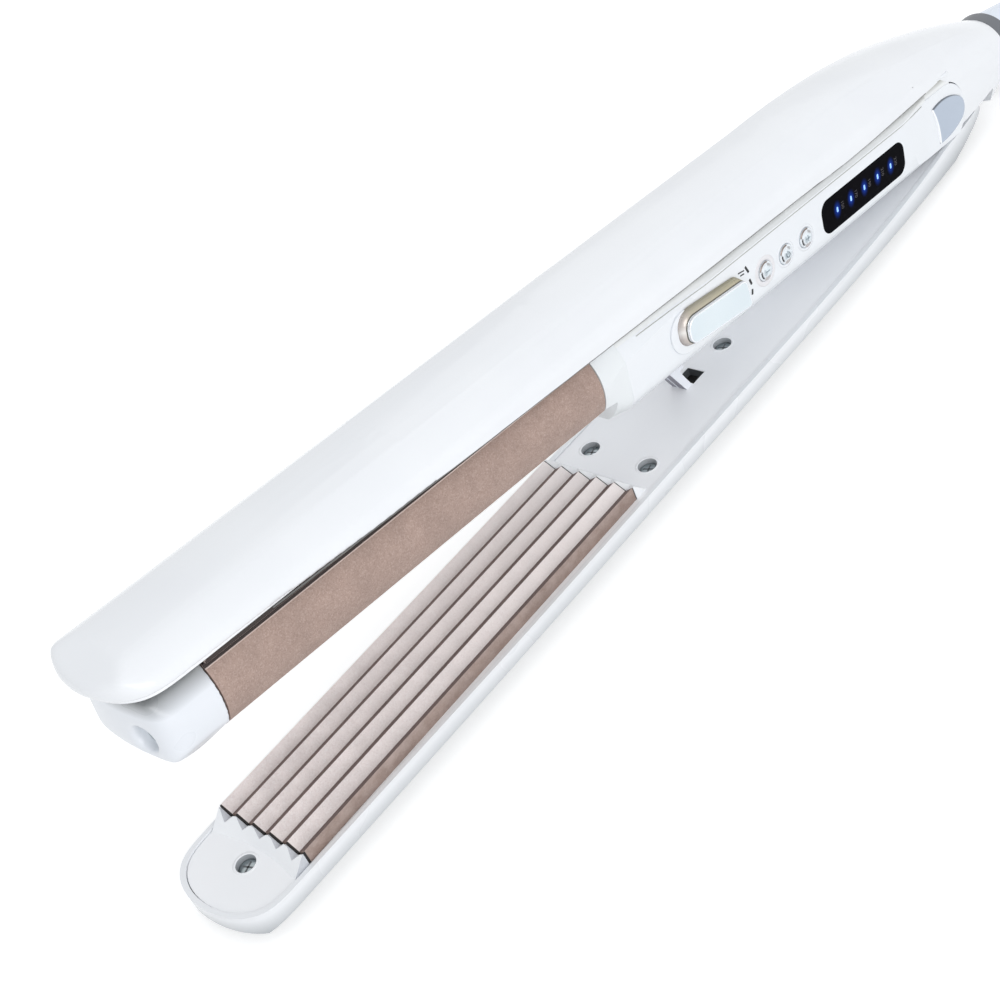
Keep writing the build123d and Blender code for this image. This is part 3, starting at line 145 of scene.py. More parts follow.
def makeMouldGrain():
    group, source, sink = newGroup(
        "mouldGrain",
        {"Scale": 900, "Smooth": 0.2, "Rough": 0.3, "Tint": (0.8, 0.8, 0.8), "Shade": (0.7, 0.7, 0.7)},
        ("Color", "Roughness", "Height"),
    )
    place = addNode(group, "TexCoord")
    fine = addNode(group, "TexNoise", Detail=3, Roughness=0.55)
    broad = addNode(group, "TexNoise", Scale=45, Detail=2, Roughness=0.5)
    spread = ramp(group, 0.3, 0.7)
    rough = ramp(group, 0.25, 0.75)
    blend = mixColors(group)
    wire(
        group, (place, "Object", fine, "Vector"), (place, "Object", broad, "Vector"),
        (source, "Scale", fine, "Scale"), (broad, "Fac", spread, "Value"), (broad, "Fac", rough, "Value"),
        (source, "Smooth", rough, "To Min"), (source, "Rough", rough, "To Max"),
        (spread, "Result", blend, "Factor"), (source, "Shade", blend, "A"), (source, "Tint", blend, "B"),
        (blend, "Result", sink, "Color"), (rough, "Result", sink, "Roughness"),
        (fine, "Fac", sink, "Height"),
    )
    return group


def makeFlake():
    group, source, sink = newGroup(
        "metalFlake",
        {"Scale": 2600, "Base": (0.5, 0.4, 0.36), "Light": (0.7, 0.6, 0.55), "Dark": (0.3, 0.22, 0.2),
         "Amount": 0.5},
        ("Color", "Height"),
    )
    place = addNode(group, "TexCoord")
    cells = addNode(group, "TexVoronoi", {"feature": "F1"})
    clouds = addNode(group, "TexNoise", Scale=160, Detail=4, Roughness=0.65)
    lightStep = ramp(group, 0.55, 1.0)
    darkStep = ramp(group, 0.45, 0.0)
    cloudStep = ramp(group, 0.35, 0.65, To_Min=0.6, To_Max=1.0)
    split = addNode(group, "SeparateColor")
    lightAmount = addNode(group, "Math", {"operation": "MULTIPLY"})
    darkAmount = addNode(group, "Math", {"operation": "MULTIPLY"})
    lighten = mixColors(group)
    darken = mixColors(group)
    cloud = mixColors(group, "MULTIPLY", Factor=0.35)
    wire(
        group, (place, "Object", cells, "Vector"), (place, "Object", clouds, "Vector"),
        (source, "Scale", cells, "Scale"), (cells, "Color", split, "Color"),
        (split, "Red", lightStep, "Value"), (split, "Green", darkStep, "Value"),
        (lightStep, "Result", lightAmount, 0), (source, "Amount", lightAmount, 1),
        (darkStep, "Result", darkAmount, 0), (source, "Amount", darkAmount, 1),
        (lightAmount, "Value", lighten, "Factor"), (source, "Base", lighten, "A"),
        (source, "Light", lighten, "B"), (darkAmount, "Value", darken, "Factor"),
        (lighten, "Result", darken, "A"), (source, "Dark", darken, "B"),
        (clouds, "Fac", cloudStep, "Value"), (darken, "Result", cloud, "A"),
        (cloudStep, "Result", cloud, "B"), (cloud, "Result", sink, "Color"),
        (split, "Blue", sink, "Height"),
    )
    return group


def makeEdgeWear():
    group, source, sink = newGroup(
        "edgeWear", {"Color": (0.8, 0.8, 0.8), "Edge": (0.9, 0.9, 0.9), "Amount": 0.5}, ("Color",),
    )
    shape = addNode(group, "NewGeometry")
    place = addNode(group, "TexCoord")
    patches = addNode(group, "TexNoise", Scale=420, Detail=4)
    edge = ramp(group, 0.52, 0.62)
    broken = addNode(group, "Math", {"operation": "MULTIPLY"})
    amount = addNode(group, "Math", {"operation": "MULTIPLY"})
    blend = mixColors(group)
    wire(
        group, (place, "Object", patches, "Vector"), (shape, "Pointiness", edge, "Value"),
        (edge, "Result", broken, 0), (patches, "Fac", broken, 1), (broken, "Value", amount, 0),
        (source, "Amount", amount, 1), (amount, "Value", blend, "Factor"), (source, "Color", blend, "A"),
        (source, "Edge", blend, "B"), (blend, "Result", sink, "Color"),
    )
    return group


mouldGrain, metalFlake, edgeWear = makeMouldGrain(), makeFlake(), makeEdgeWear()
print("shader groups ready")


# Materials
def newMaterial(name, **values):
    material = bpy.data.materials.new(name)
    material.use_nodes = True
    shader = setInputs(material.node_tree.nodes["Principled BSDF"], values)
    return material, material.node_tree, shader


def placeGroup(tree, group, **values):
    return addNode(tree, "Group", {"node_tree": group}, **values)


def addRelief(tree, source, shader, strength, distance):
    relief = addNode(tree, "Bump", Strength=strength, Distance=distance)
    wire(tree, (source, "Height", relief, "Height"), (relief, "Normal", shader, "Normal"))


def plastic(name, tint, shade, smooth, rough, grain=1100, bump=0.02, coat=0.0, gloss=0.5):
    material, tree, shader = newMaterial(
        name, IOR=1.5, Coat_Weight=coat, Coat_Roughness=0.05, Specular_IOR_Level=gloss)
    mould = placeGroup(tree, mouldGrain, Scale=grain, Smooth=smooth, Rough=rough, Tint=tint, Shade=shade)
    wear = placeGroup(tree, edgeWear, Edge=tint, Amount=0.5)
    wire(tree, (mould, "Color", wear, "Color"), (wear, "Color", shader, "Base Color"),
         (mould, "Roughness", shader, "Roughness"))
    addRelief(tree, mould, shader, bump, 0.0002)
    return material


def flaked(name, base, light, dark, amount, scale, metallic, roughness, bump=0.15, edge=None):
    material, tree, shader = newMaterial(name, Metallic=metallic, Roughness=roughness, IOR=1.5)
    flake = placeGroup(tree, metalFlake, Scale=scale, Base=base, Light=light, Dark=dark, Amount=amount)
    wear = placeGroup(tree, edgeWear, Edge=edge or light, Amount=0.7)
    wire(tree, (flake, "Color", wear, "Color"), (wear, "Color", shader, "Base Color"))
    addRelief(tree, flake, shader, bump, 0.00005)
    return material


def metal(name, tint, shade, smooth, rough, grain=600, bump=0.02):
    material, tree, shader = newMaterial(name, Metallic=1.0)
    mould = placeGroup(tree, mouldGrain, Scale=grain, Smooth=smooth, Rough=rough, Tint=tint, Shade=shade)
    wire(tree, (mould, "Color", shader, "Base Color"), (mould, "Roughness", shader, "Roughness"))
    addRelief(tree, mould, shader, bump, 0.0001)
    return material


# Painted light and shade blended over a material: a tone from one height to another, or a painted shade where
# it faces down
def blendTone(material, amount, tone):
    tree = material.node_tree
    shader = tree.nodes["Principled BSDF"]
    before = shader.inputs["Base Color"].links[0].from_socket
    blend = mixColors(tree, B=tone)
    tree.links.new(before, blend.inputs["A"])
    tree.links.new(amount, blend.inputs["Factor"])
    wire(tree, (blend, "Result", shader, "Base Color"))
    return material


def graded(material, place, heights, tone, axis=(0, 0, 1)):
    tree = material.node_tree
    spot = addNode(tree, "TexCoord")
    height = addNode(tree, "VectorMath", {"operation": "DOT_PRODUCT"})
    upward = (place.to_3x3() @ Vector(axis)).normalized()
    height.inputs[1].default_value = upward
    base = upward.dot(place.translation)
    step = ramp(tree, base + heights[0] * mm, base + heights[1] * mm)
    wire(tree, (spot, "Object", height, 0), (height, "Value", step, "Value"))
    return blendTone(material, step.outputs["Result"], tone)


def shadeUnderneath(material, tone):
    tree = material.node_tree
    shape = addNode(tree, "NewGeometry")
    split = addNode(tree, "SeparateXYZ")
    down = ramp(tree, -0.05, -0.5)
    wire(tree, (shape, "Normal", split, "Vector"), (split, "Z", down, "Value"))
    return blendTone(material, down.outputs["Result"], tone)


# Metal and halo that take their tone from the colours painted on the mesh; on the metal these colours hold
# painted reflections and highlights
def brushed(name, metallic, smooth, rough):
    material, tree, shader = newMaterial(name, Metallic=metallic, IOR=1.5)
    paint = addNode(tree, "VertexColor", {"layer_name": "paint"})
    grain = placeGroup(tree, mouldGrain, Scale=1500, Smooth=smooth, Rough=rough,
                       Tint=(1, 1, 1), Shade=(0.93, 0.93, 0.93))
    blend = mixColors(tree, "MULTIPLY", Factor=1.0)
    wire(
        tree, (paint, "Color", blend, "A"), (grain, "Color", blend, "B"),
        (blend, "Result", shader, "Base Color"), (grain, "Roughness", shader, "Roughness"),
    )
    return material


def glowing(name, strength):
    material, tree, shader = newMaterial(
        name, Roughness=0.3, Emission_Strength=strength, Specular_IOR_Level=0.015)
    paint = addNode(tree, "VertexColor", {"layer_name": "paint"})
    grain = placeGroup(tree, mouldGrain, Scale=2500, Smooth=0.25, Rough=0.3,
                       Tint=(0.0012, 0.001, 0.003), Shade=(0.0008, 0.0008, 0.002))
    wire(tree, (paint, "Color", shader, "Emission Color"), (grain, "Color", shader, "Base Color"))
    return material


def lit(name, rim, core, strength):
    material, tree, shader = newMaterial(
        name, Roughness=0.4, Emission_Strength=strength, Base_Color=(0.05, 0.1, 0.3))
    place = addNode(tree, "TexCoord")
    cloud = addNode(tree, "TexNoise", Scale=1400, Detail=2)
    blend = mixColors(tree, A=rim, B=core)
    wire(
        tree, (place, "Object", cloud, "Vector"), (cloud, "Fac", blend, "Factor"),
        (blend, "Result", shader, "Emission Color"),
    )
    return material


# Steel with a painted reflection: it darkens on edges that look up and brightens on edges that look to the
# front
def steelWithPaintedReflection(name, tint, shade, top, front):
    material, tree, shader = newMaterial(name, Metallic=0.55, IOR=1.5)
    grain = placeGroup(tree, mouldGrain, Scale=900, Smooth=0.16, Rough=0.26, Tint=tint, Shade=shade)
    shape = addNode(tree, "NewGeometry")
    split = addNode(tree, "SeparateXYZ")
    up = ramp(tree, 0.35, 0.75)
    ahead = ramp(tree, -0.25, -0.6)
    darken = mixColors(tree, B=top)
    brighten = mixColors(tree, B=front)
    wire(
        tree, (shape, "Normal", split, "Vector"), (split, "Z", up, "Value"), (split, "X", ahead, "Value"),
        (grain, "Color", darken, "A"), (up, "Result", darken, "Factor"), (darken, "Result", brighten, "A"),
        (ahead, "Result", brighten, "Factor"), (brighten, "Result", shader, "Base Color"),
        (grain, "Roughness", shader, "Roughness"),
    )
    return material


shellWhite = plastic("shellWhite", (0.88, 0.895, 0.92), (0.855, 0.87, 0.90), 0.16, 0.26, coat=0.25)
armWhite = plastic("armWhite", (0.88, 0.895, 0.92), (0.85, 0.87, 0.895), 0.2, 0.3)
# Painted shade on the arm: darker from the rim down its walls, and darker still on faces that look down
armWhite = graded(armWhite, armPlace, (-2.6, -7.5), (0.44, 0.46, 0.48))
armWhite = shadeUnderneath(armWhite, (0.36, 0.38, 0.39))
handleWhite = plastic("handleWhite", (0.88, 0.90, 0.93), (0.855, 0.88, 0.915), 0.2, 0.3, coat=0.2)
deckWhite = plastic("deckWhite", (0.86, 0.87, 0.875), (0.83, 0.845, 0.85), 0.3, 0.4)
# Painted shadow on the deck: an olive-grey tone towards its top, under the cover's edge
deckWhite = graded(deckWhite, bodyPlace, (15.9, 17.3), (0.36, 0.36, 0.32))
capWhite = plastic("capWhite", (0.82, 0.845, 0.89), (0.79, 0.82, 0.87), 0.22, 0.32, coat=0.2)
# Painted shadow on the end cap: darker towards its top, under the cover's tip
capWhite = graded(capWhite, bodyPlace, (13.6, 17.2), (0.27, 0.28, 0.285))
collarWhite = plastic("collarWhite", (0.85, 0.875, 0.89), (0.82, 0.85, 0.87), 0.35, 0.45)
linerWhite = plastic("linerWhite", (0.955, 0.965, 0.985), (0.93, 0.945, 0.97), 0.32, 0.45)
hookWhite = plastic("hookWhite", (0.86, 0.88, 0.93), (0.82, 0.84, 0.90), 0.35, 0.45)
hookShade = plastic("hookShade", (0.24, 0.235, 0.28), (0.18, 0.17, 0.20), 0.4, 0.5)
seatWhite = plastic("seatWhite", (0.93, 0.94, 0.96), (0.90, 0.92, 0.945), 0.4, 0.5)
seatShadeGrey = plastic("seatShadeGrey", (0.60, 0.62, 0.66), (0.56, 0.58, 0.62), 0.4, 0.5)
swivelWhite = plastic("swivelWhite", (0.80, 0.86, 0.95), (0.76, 0.83, 0.93), 0.2, 0.3)
collarPink = plastic("collarPink", (0.85, 0.84, 0.86), (0.82, 0.805, 0.825), 0.3, 0.4)
barrelRose = flaked(
    "barrelRose", (0.41, 0.295, 0.25), (0.56, 0.43, 0.38), (0.27, 0.18, 0.15), 0.5, 4200, 0.3, 0.45, 0.1
)
plateRose = flaked(
    "plateRose", (0.86, 0.775, 0.755), (0.95, 0.90, 0.89), (0.72, 0.62, 0.60), 0.5, 3600, 0.1, 0.5, 0.1
)
# Painted sheen: the rose plates lighten towards their rear end
plateRose = graded(plateRose, armPlace, (10, 175), (1.0, 0.945, 0.93), (1, 0, 0))
plateShade = flaked(
    "plateShade", (0.13, 0.08, 0.07), (0.20, 0.13, 0.115), (0.075, 0.04, 0.035), 0.4, 3600, 0.2, 0.6, 0.1
)
plateWallShade = flaked(
    "plateWallShade", (0.27, 0.185, 0.15), (0.37, 0.27, 0.23), (0.17, 0.11, 0.09), 0.4, 3600, 0.2, 0.5, 0.1,
    edge=(0.78, 0.66, 0.62),
)
flatRose = flaked(
    "flatRose", (0.50, 0.40, 0.36), (0.64, 0.54, 0.50), (0.34, 0.25, 0.22), 0.35, 3600, 0.5, 0.3
)
chrome = metal("chrome", (0.86, 0.88, 0.91), (0.80, 0.82, 0.86), 0.04, 0.1)
screwSteel = metal("screwSteel", (0.50, 0.55, 0.57), (0.34, 0.39, 0.41), 0.2, 0.4, grain=1500, bump=0.1)
pinSteel = metal("pinSteel", (0.55, 0.56, 0.58), (0.45, 0.46, 0.48), 0.25, 0.4)
leverFace = plastic("leverFace", (0.78, 0.86, 0.90), (0.72, 0.81, 0.86), 0.08, 0.14, coat=0.5)
leverGrooveShade = plastic("leverGrooveShade", (0.12, 0.115, 0.09), (0.08, 0.08, 0.07), 0.25, 0.35)
ringGrey = plastic("ringGrey", (0.16, 0.17, 0.19), (0.11, 0.115, 0.125), 0.35, 0.5, bump=0.08)
darkNylon = plastic("darkNylon", (0.03, 0.03, 0.03), (0.02, 0.02, 0.02), 0.5, 0.6, bump=0.08)
gapShadowBlack = plastic("gapShadowBlack", (0.012, 0.01, 0.01), (0.006, 0.005, 0.005), 0.6, 0.7)
printBlack = plastic("printBlack", (0.015, 0.015, 0.018), (0.01, 0.01, 0.012), 0.5, 0.6)
recessShadowGrey = plastic("recessShadowGrey", (0.06, 0.065, 0.07), (0.04, 0.045, 0.05), 0.5, 0.6)
wellShadowGrey = plastic("wellShadowGrey", (0.40, 0.42, 0.44), (0.30, 0.32, 0.34), 0.4, 0.5)
crossShadowGrey = plastic("crossShadowGrey", (0.13, 0.14, 0.15), (0.10, 0.11, 0.12), 0.4, 0.5)
signGrey = plastic("signGrey", (0.34, 0.40, 0.44), (0.26, 0.32, 0.36), 0.2, 0.3)
numberGrey = plastic("numberGrey", (0.075, 0.07, 0.08), (0.05, 0.045, 0.055), 0.5, 0.6)
displayBlack = plastic(
    "displayBlack", (0.0012, 0.001, 0.003), (0.0008, 0.0008, 0.002), 0.3, 0.35, bump=0.0, gloss=0.015
)
edgeShadowGrey = plastic("edgeShadowGrey", (0.17, 0.17, 0.165), (0.12, 0.12, 0.115), 0.4, 0.5)
seamGrey = plastic("seamGrey", (0.45, 0.46, 0.43), (0.40, 0.41, 0.38), 0.4, 0.5)
edgeHighlightRose = plastic("edgeHighlightRose", (0.72, 0.60, 0.55), (0.62, 0.50, 0.46), 0.3, 0.4)
shadowBrown = plastic("shadowBrown", (0.030, 0.018, 0.016), (0.02, 0.012, 0.01), 0.5, 0.6)
boardGreen = plastic("boardGreen", (0.03, 0.18, 0.08), (0.02, 0.12, 0.05), 0.4, 0.5)
heaterCeramic = plastic("heaterCeramic", (0.75, 0.73, 0.68), (0.7, 0.67, 0.62), 0.5, 0.6, bump=0.1)
reflectionPaintedChrome = brushed("reflectionPaintedChrome", 0.7, 0.12, 0.22)
leverSide = brushed("leverSide", 0.35, 0.22, 0.34)
haloBlue = glowing("haloBlue", 0.9)
dashBlue = lit("dashBlue", (0.10, 0.38, 1.0), (0.45, 0.72, 1.0), 1.15)
cheekSteel = steelWithPaintedReflection(
    "cheekSteel", (0.47, 0.53, 0.62), (0.43, 0.49, 0.58), (0.16, 0.18, 0.21), (0.95, 0.96, 0.98)
)
print("materials ready")


# Every piece rides on a body and may stand for nodes of the frame
def settle(name, work, materials, body, stands=()):
    mesh = bpy.data.meshes.new(name)
    work.to_mesh(mesh)
    work.free()
    for material in materials:
        mesh.materials.append(material)
    piece = newObject(name, mesh)
    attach(piece, body)
    if stands:
        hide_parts(*stands)
    return piece


# Drawing helpers: shapes are drawn in millimetres on the arm or the body, then put in place
def newPiece(name, work, place, materials, body, stands=(), paint=None):
    bmesh.ops.recalc_face_normals(work, faces=work.faces)
    paints = [paint(vertex.co) for vertex in work.verts] if paint else []
    work.transform(place @ Matrix.Scale(mm, 4))
    piece = settle(name, work, materials, body, stands)
    if paints:
        layer = piece.data.color_attributes.new("paint", "FLOAT_COLOR", "POINT")
        for index, tone in enumerate(paints):
            layer.data[index].color = (*tone, 1)
    return piece


def roundEdges(piece, width, segments=3, angle=28):
    rounding = piece.modifiers.new("rounding", "BEVEL")
    rounding.width = width * mm
    rounding.segments = segments
    rounding.limit_method = "ANGLE"
    rounding.angle_limit = math.radians(angle)
    rounding.use_clamp_overlap = True
    rounding.miter_outer = "MITER_ARC"
    for face in piece.data.polygons:
        face.use_smooth = True
    even = piece.modifiers.new("normals", "WEIGHTED_NORMAL")
    even.keep_sharp = True


def roundedOutline(corners, steps=6):
    points = []
    for index, (a, b, radius) in enumerate(corners):
        here = Vector((a, b))
        back = (Vector(corners[index - 1][:2]) - here).normalized()
        ahead = (Vector(corners[(index + 1) % len(corners)][:2]) - here).normalized()
        half = back.angle(ahead) / 2
        middle = here + (back + ahead).normalized() * (radius / math.sin(half))
        start = here + back * (radius / math.tan(half)) - middle
        finish = here + ahead * (radius / math.tan(half)) - middle
        for step in range(steps + 1):
            share = step / steps
            points.append(middle + (start * (1 - share) + finish * share).normalized() * radius)
    return points


def insetOutline(points, distance):
    result = []
    for index, point in enumerate(points):
        along = points[(index + 1) % len(points)] - points[index - 1]
        normal = Vector((-along.y, along.x)).normalized()
        result.append(point + normal * distance)
    return result


def loftRings(work, rings, tones=None, ends=(0, 0), smooth=True):
    loops = [[work.verts.new(point) for point in ring] for ring in rings]
    for level, (low, high) in enumerate(zip(loops, loops[1:])):
        for index in range(len(low)):
            after = (index + 1) % len(low)
            face = work.faces.new((low[index], low[after], high[after], high[index]))
            face.smooth = smooth
            face.material_index = tones[level] if tones else 0
    if ends[0] is not None:
        work.faces.new(loops[0][::-1]).material_index = ends[0]
    if ends[1] is not None:
        work.faces.new(loops[-1]).material_index = ends[1]


def onFace(points, depth):
    return [Vector((point.x, depth, point.y)) for point in points]


def onFloor(points, height):
    return [Vector((point.x, point.y, height)) for point in points]


def circle(a, b, radius, steps=32):
    turns = [2 * math.pi * step / steps for step in range(steps)]
    return [Vector((a + radius * math.cos(turn), b + radius * math.sin(turn))) for turn in turns]


def strip(start, finish, width, round=0.1):
    along = (Vector(finish) - Vector(start)).normalized() * (width / 2)
    side = Vector((-along.y, along.x))
    corners = (
        Vector(start) - along - side, Vector(finish) + along - side,
        Vector(finish) + along + side, Vector(start) - along + side,
    )
    return roundedOutline([(corner.x, corner.y, round) for corner in corners], 3)


def boxOutline(front, rear, low, high, radius, steps):
    corners = ((front, low), (rear, low), (rear, high), (front, high))
    return roundedOutline([(a, b, radius) for a, b in corners], steps)


def slab(work, outline, depths, lay=onFace, **settings):
    loftRings(work, [lay(outline, depth) for depth in depths], **settings)


def turned(work, a, b, depthsAndRadii, lay=onFace, sides=48, **settings):
    loftRings(work, [lay(circle(a, b, radius, sides), depth) for depth, radius in depthsAndRadii], **settings)


# Rounded copies of the machined shapes: welded, planar faces joined, edges rounded
def copied(node):
    work = bmesh.new()
    work.from_mesh(nodes[node].data)
    bmesh.ops.remove_doubles(work, verts=work.verts, dist=2e-6)
    return work


def joinFlatFaces(work):
    bmesh.ops.dissolve_limit(work, angle_limit=math.radians(0.4), verts=work.verts, edges=work.edges)


def softened(node, name, material, width, body, segments=3, extra=(), pick=None, shift=None):
    work = copied(node)
    joinFlatFaces(work)
    if shift:
        shift(work)
    if pick:
        work.normal_update()
        for face in work.faces:
            face.material_index = pick(face)
    roundEdges(settle(name, work, (material, *extra), body, (node,)), width, segments)


# Moulded ends that are round all over: remeshed finely, then eased as much as weigh says
def cutAcross(work, reach, keepFront):
    spot, along = bodyPlace @ Vector((reach * mm, 0, 0)), bodyPlace.to_3x3() @ Vector((1, 0, 0))
    bmesh.ops.bisect_plane(
        work, geom=work.verts[:] + work.edges[:] + work.faces[:], plane_co=spot, plane_no=along,
        clear_outer=keepFront, clear_inner=not keepFront, dist=1e-7)


def melted(name, work, material, body, stands, settings, weigh):
    mesh = bpy.data.meshes.new(name)
    work.to_mesh(mesh)
    work.free()
    rough = newObject(name + "Rough", mesh)
    grid = rough.modifiers.new("grid", "REMESH")
    grid.mode = "VOXEL"
    grid.voxel_size = settings["voxel"] * mm
    bpy.context.view_layer.update()
    fine = bpy.data.meshes.new_from_object(rough.evaluated_get(bpy.context.evaluated_depsgraph_get()))
    bpy.data.objects.remove(rough)
    work = bmesh.new()
    work.from_mesh(fine)
    if "cut" in settings:
        cutAcross(work, settings["cut"], True)
    piece = settle(name, work, [material], body, stands)
    group = piece.vertex_groups.new(name="ease")
    back = bodyPlace.inverted()
    for vertex in piece.data.vertices:
        amount = weigh((back @ vertex.co) / mm)
        if amount > 0:
            group.add([vertex.index], min(1.0, amount), "REPLACE")
    for face in piece.data.polygons:
        face.use_smooth = True
    ease = piece.modifiers.new("ease", "SMOOTH")
    ease.factor = 0.5
    ease.iterations = settings["rounds"]
    ease.vertex_group = "ease"


# Ridged plates: the slopes facing the near side are pale, the others and the walls take a painted shade
def ridgeShadeTone(face):
    if face.normal.y < -0.3 and abs(face.normal.z) > 0.3:
        return 0
    return 1 if face.normal.y > 0.3 and abs(face.normal.z) > 0.3 else 2


# Seats: the facets that face the near side take a painted shade
def seatShadeTone(face):
    return 1 if face.normal.y < -0.25 else 0


# Barrel's flat plate: its faces toward the near side, below the cover's edge, take a painted shadow
def flatShadowTone(face):
    return 0 if face.normal.z > 0.9 or face.normal.y > -0.2 else 1


# Straight plate: its side walls take a painted shade
def sideShadowTone(face):
    return int(abs(face.normal.y) > 0.7)


# Deeper seats for the screws in the crimping arm's liner
armScrews = {
    "places": ((-7.0, 0.0), (120.3, -8.7), (120.3, 8.7), (162.6, 0.0)), "radius": 2.9, "floor": -1.8,
    "bore": 2.3, "deeper": 0.9, "seat": (-3.6, -2.9), "sides": 40,
}


def deeperSeats(work):
    low, high = armScrews["seat"]
    for vertex in work.verts:
        place = (armPlace.inverted() @ vertex.co) / mm
        for reach, side in armScrews["places"]:
            away = math.hypot(place.x - reach, place.y - side)
            if away < armScrews["radius"] + 0.1 and low < place.z < high:
                vertex.co.z -= armScrews["deeper"] * mm


# Toothed seats moved along the arm, with their teeth lowered
def seatShift(start, finish, run, drop, teeth=-1.7):
    def move(work):
        for vertex in work.verts:
            place = (armPlace.inverted() @ vertex.co) / mm
            if start < place.x < finish and place.z > teeth:
                vertex.co += Vector((run, 0, -drop)) * mm
            elif start < place.x < finish:
                vertex.co.x += run * mm
    return move


dressing = {
    "top_arm_liner": ("topLiner", linerWhite, 0.2, "top_arm", "white_liner"),
    "swivel_ring": ("swivelRing", ringGrey, 0.5, "top_arm", "grey_ring"),
    "swivel_nose": ("swivelNose", swivelWhite, 0.4, "swivel", "white_swivel"),
    "handle_housing": ("handleHousing", handleWhite, 0.25, "curler", "white_handle"),
    "handle_deck": ("handleDeck", deckWhite, 0.2, "curler", "white_liner"),
    "heat_collar": ("heatCollar", collarWhite, 0.25, "curler", "white_collar"),
    "barrel_side_near": ("barrelSideNear", barrelRose, 0.1, "curler", "rose_barrel"),
    "barrel_side_far": ("barrelSideFar", barrelRose, 0.1, "curler", "rose_barrel"),
    "lever_base": ("leverBase", handleWhite, 0.15, "curler", "white_handle"),
    "crimp_arm_cover": ("crimpArmCover", armWhite, 0.5, "crimp_arm", "white_shell"),
}
for node, (name, material, width, body, slot) in dressing.items():
    softened(node, name, material, width, body)

softened("straight_plate", "straightPlate", flatRose, 0.3, "top_arm",
         extra=(shadowBrown,), pick=sideShadowTone)
softened("crimp_arm_liner", "crimpArmLiner", linerWhite, 0.2, "crimp_arm", shift=deeperSeats)
softened("barrel_flat_plate", "barrelFlatPlate", flatRose, 0.25, "curler",
         extra=(shadowBrown,), pick=flatShadowTone)

# Painted shadow along the sides of the barrel's flat plate: a dark sheet where the cover's edge shades it
flatPoints = [(bodyPlace.inverted() @ vertex.co) / mm for vertex in nodes["barrel_flat_plate"].data.vertices]
shadowBand = {
    "inner": 8.6, "outer": max(point.y for point in flatPoints) + 0.03,
    "front": min(point.x for point in flatPoints) - 0.02, "rear": max(point.x for point in flatPoints) - 0.1,
    "heights": [max(point.z for point in flatPoints) + lift for lift in (-0.3, 0.03)],
}
work = bmesh.new()
for side in (-1, 1):
    corners = [Vector((shadowBand[reach], side * shadowBand[across])) for reach, across in (
        ("front", "inner"), ("rear", "inner"), ("rear", "outer"), ("front", "outer"))]
    slab(work, corners, shadowBand["heights"], onFloor, smooth=False)
newPiece("flatPlateShadow", work, bodyPlace, [shadowBrown], "curler")

# Barrel's end cap: a round dome, crisp only where it meets the barrel
endCap = {"voxel": 0.22, "rounds": 190, "fade": 2.6, "keep": 0.6}
capRear = max((bodyPlace.inverted() @ vertex.co).x for vertex in nodes["barrel_end_cap"].data.vertices) / mm
melted("barrelEndCap", copied("barrel_end_cap"), capWhite, "curler", ("barrel_end_cap",),
       endCap, lambda place: (capRear - endCap["keep"] - place.x) / endCap["fade"])

# Top cover: its tip is round, the rest keeps crisp edges
coverTip = {"cut": 60.0, "past": 4.0, "voxel": 0.4, "rounds": 70, "start": 42.0, "fade": 22.0}
for name in ("topCover", "topCoverTip"):
    work = copied("top_cover")
    front = name == "topCoverTip"
    cutAcross(work, coverTip["cut"] + (coverTip["past"] if front else 0), front)
    if front:
        bmesh.ops.holes_fill(work, edges=[edge for edge in work.edges if edge.is_boundary], sides=0)
        melted(name, work, shellWhite, "top_arm", ("top_cover",), coverTip,
               lambda place: (coverTip["start"] - place.x) / coverTip["fade"])
    else:
        joinFlatFaces(work)
        roundEdges(settle(name, work, [shellWhite], "top_arm", ("top_cover",)), 0.35)

cheek = {"width": 0.55, "segments": 4}
for node, name in (("hinge_cheek_near", "hingeCheekNear"), ("hinge_cheek_far", "hingeCheekFar")):
    softened(node, name, cheekSteel, cheek["width"], "curler", cheek["segments"])

crimp = {"width": 0.1, "gap": 0.4, "drop": 0.3}
ridgeTones = (plateShade, plateWallShade)
softened("crimp_plate", "crimpPlate", plateRose, crimp["width"], "crimp_arm", 2,
         extra=ridgeTones, pick=ridgeShadeTone)
softened("barrel_crimp_plate", "barrelCrimpPlate", plateRose, crimp["width"], "curler", 2,
         extra=ridgeTones, pick=ridgeShadeTone)
softened("front_plate_seat", "frontPlateSeat", seatWhite, 0.1, "crimp_arm",
         extra=(seatShadeGrey,), pick=seatShadeTone, shift=seatShift(-0.6, 0, -crimp["gap"], crimp["drop"]))
softened("rear_plate_seat", "rearPlateSeat", seatWhite, 0.1, "crimp_arm",
         shift=seatShift(110, 110.6, 0.1, 0.1))
print("rounded pieces ready")


# Painted shadow: dark strips in the gaps at the ends of the ridged plate, below the slopes that face the near
# side
strips = {
    "count": 5, "half": 13.5, "pitch": 5.4, "crest": 1.87, "low": -1.75, "sunk": 0.12, "deep": 0.75,
    "wall": 0.6,
}
for name, start, finish, material in (
    ("frontPlateGap", -0.42, -0.01, gapShadowBlack), ("rearPlateGap", 110.02, 110.2, recessShadowGrey)
):
    work = bmesh.new()
    low, high, deep = -strips["sunk"], strips["crest"] - strips["sunk"], strips["deep"]
    outlines = []
    for index in range(strips["count"]):
        side = strips["half"] - index * strips["pitch"]
        foot = side - strips["pitch"] / 2
        outlines.append(((side, high), (foot, low), (foot, low - deep), (side, high - deep)))
    edge, inner, low = -strips["half"], strips["wall"] - strips["half"], strips["low"]
    outlines.append(((edge, high), (inner, high - strips["wall"]), (inner, low), (edge, low)))
    for outline in outlines:
        rings = [[Vector((reach, a, b)) for a, b in outline] for reach in (start, finish)]
        loftRings(work, rings, smooth=False)
    newPiece(name, work, armPlace, [material], "crimp_arm")


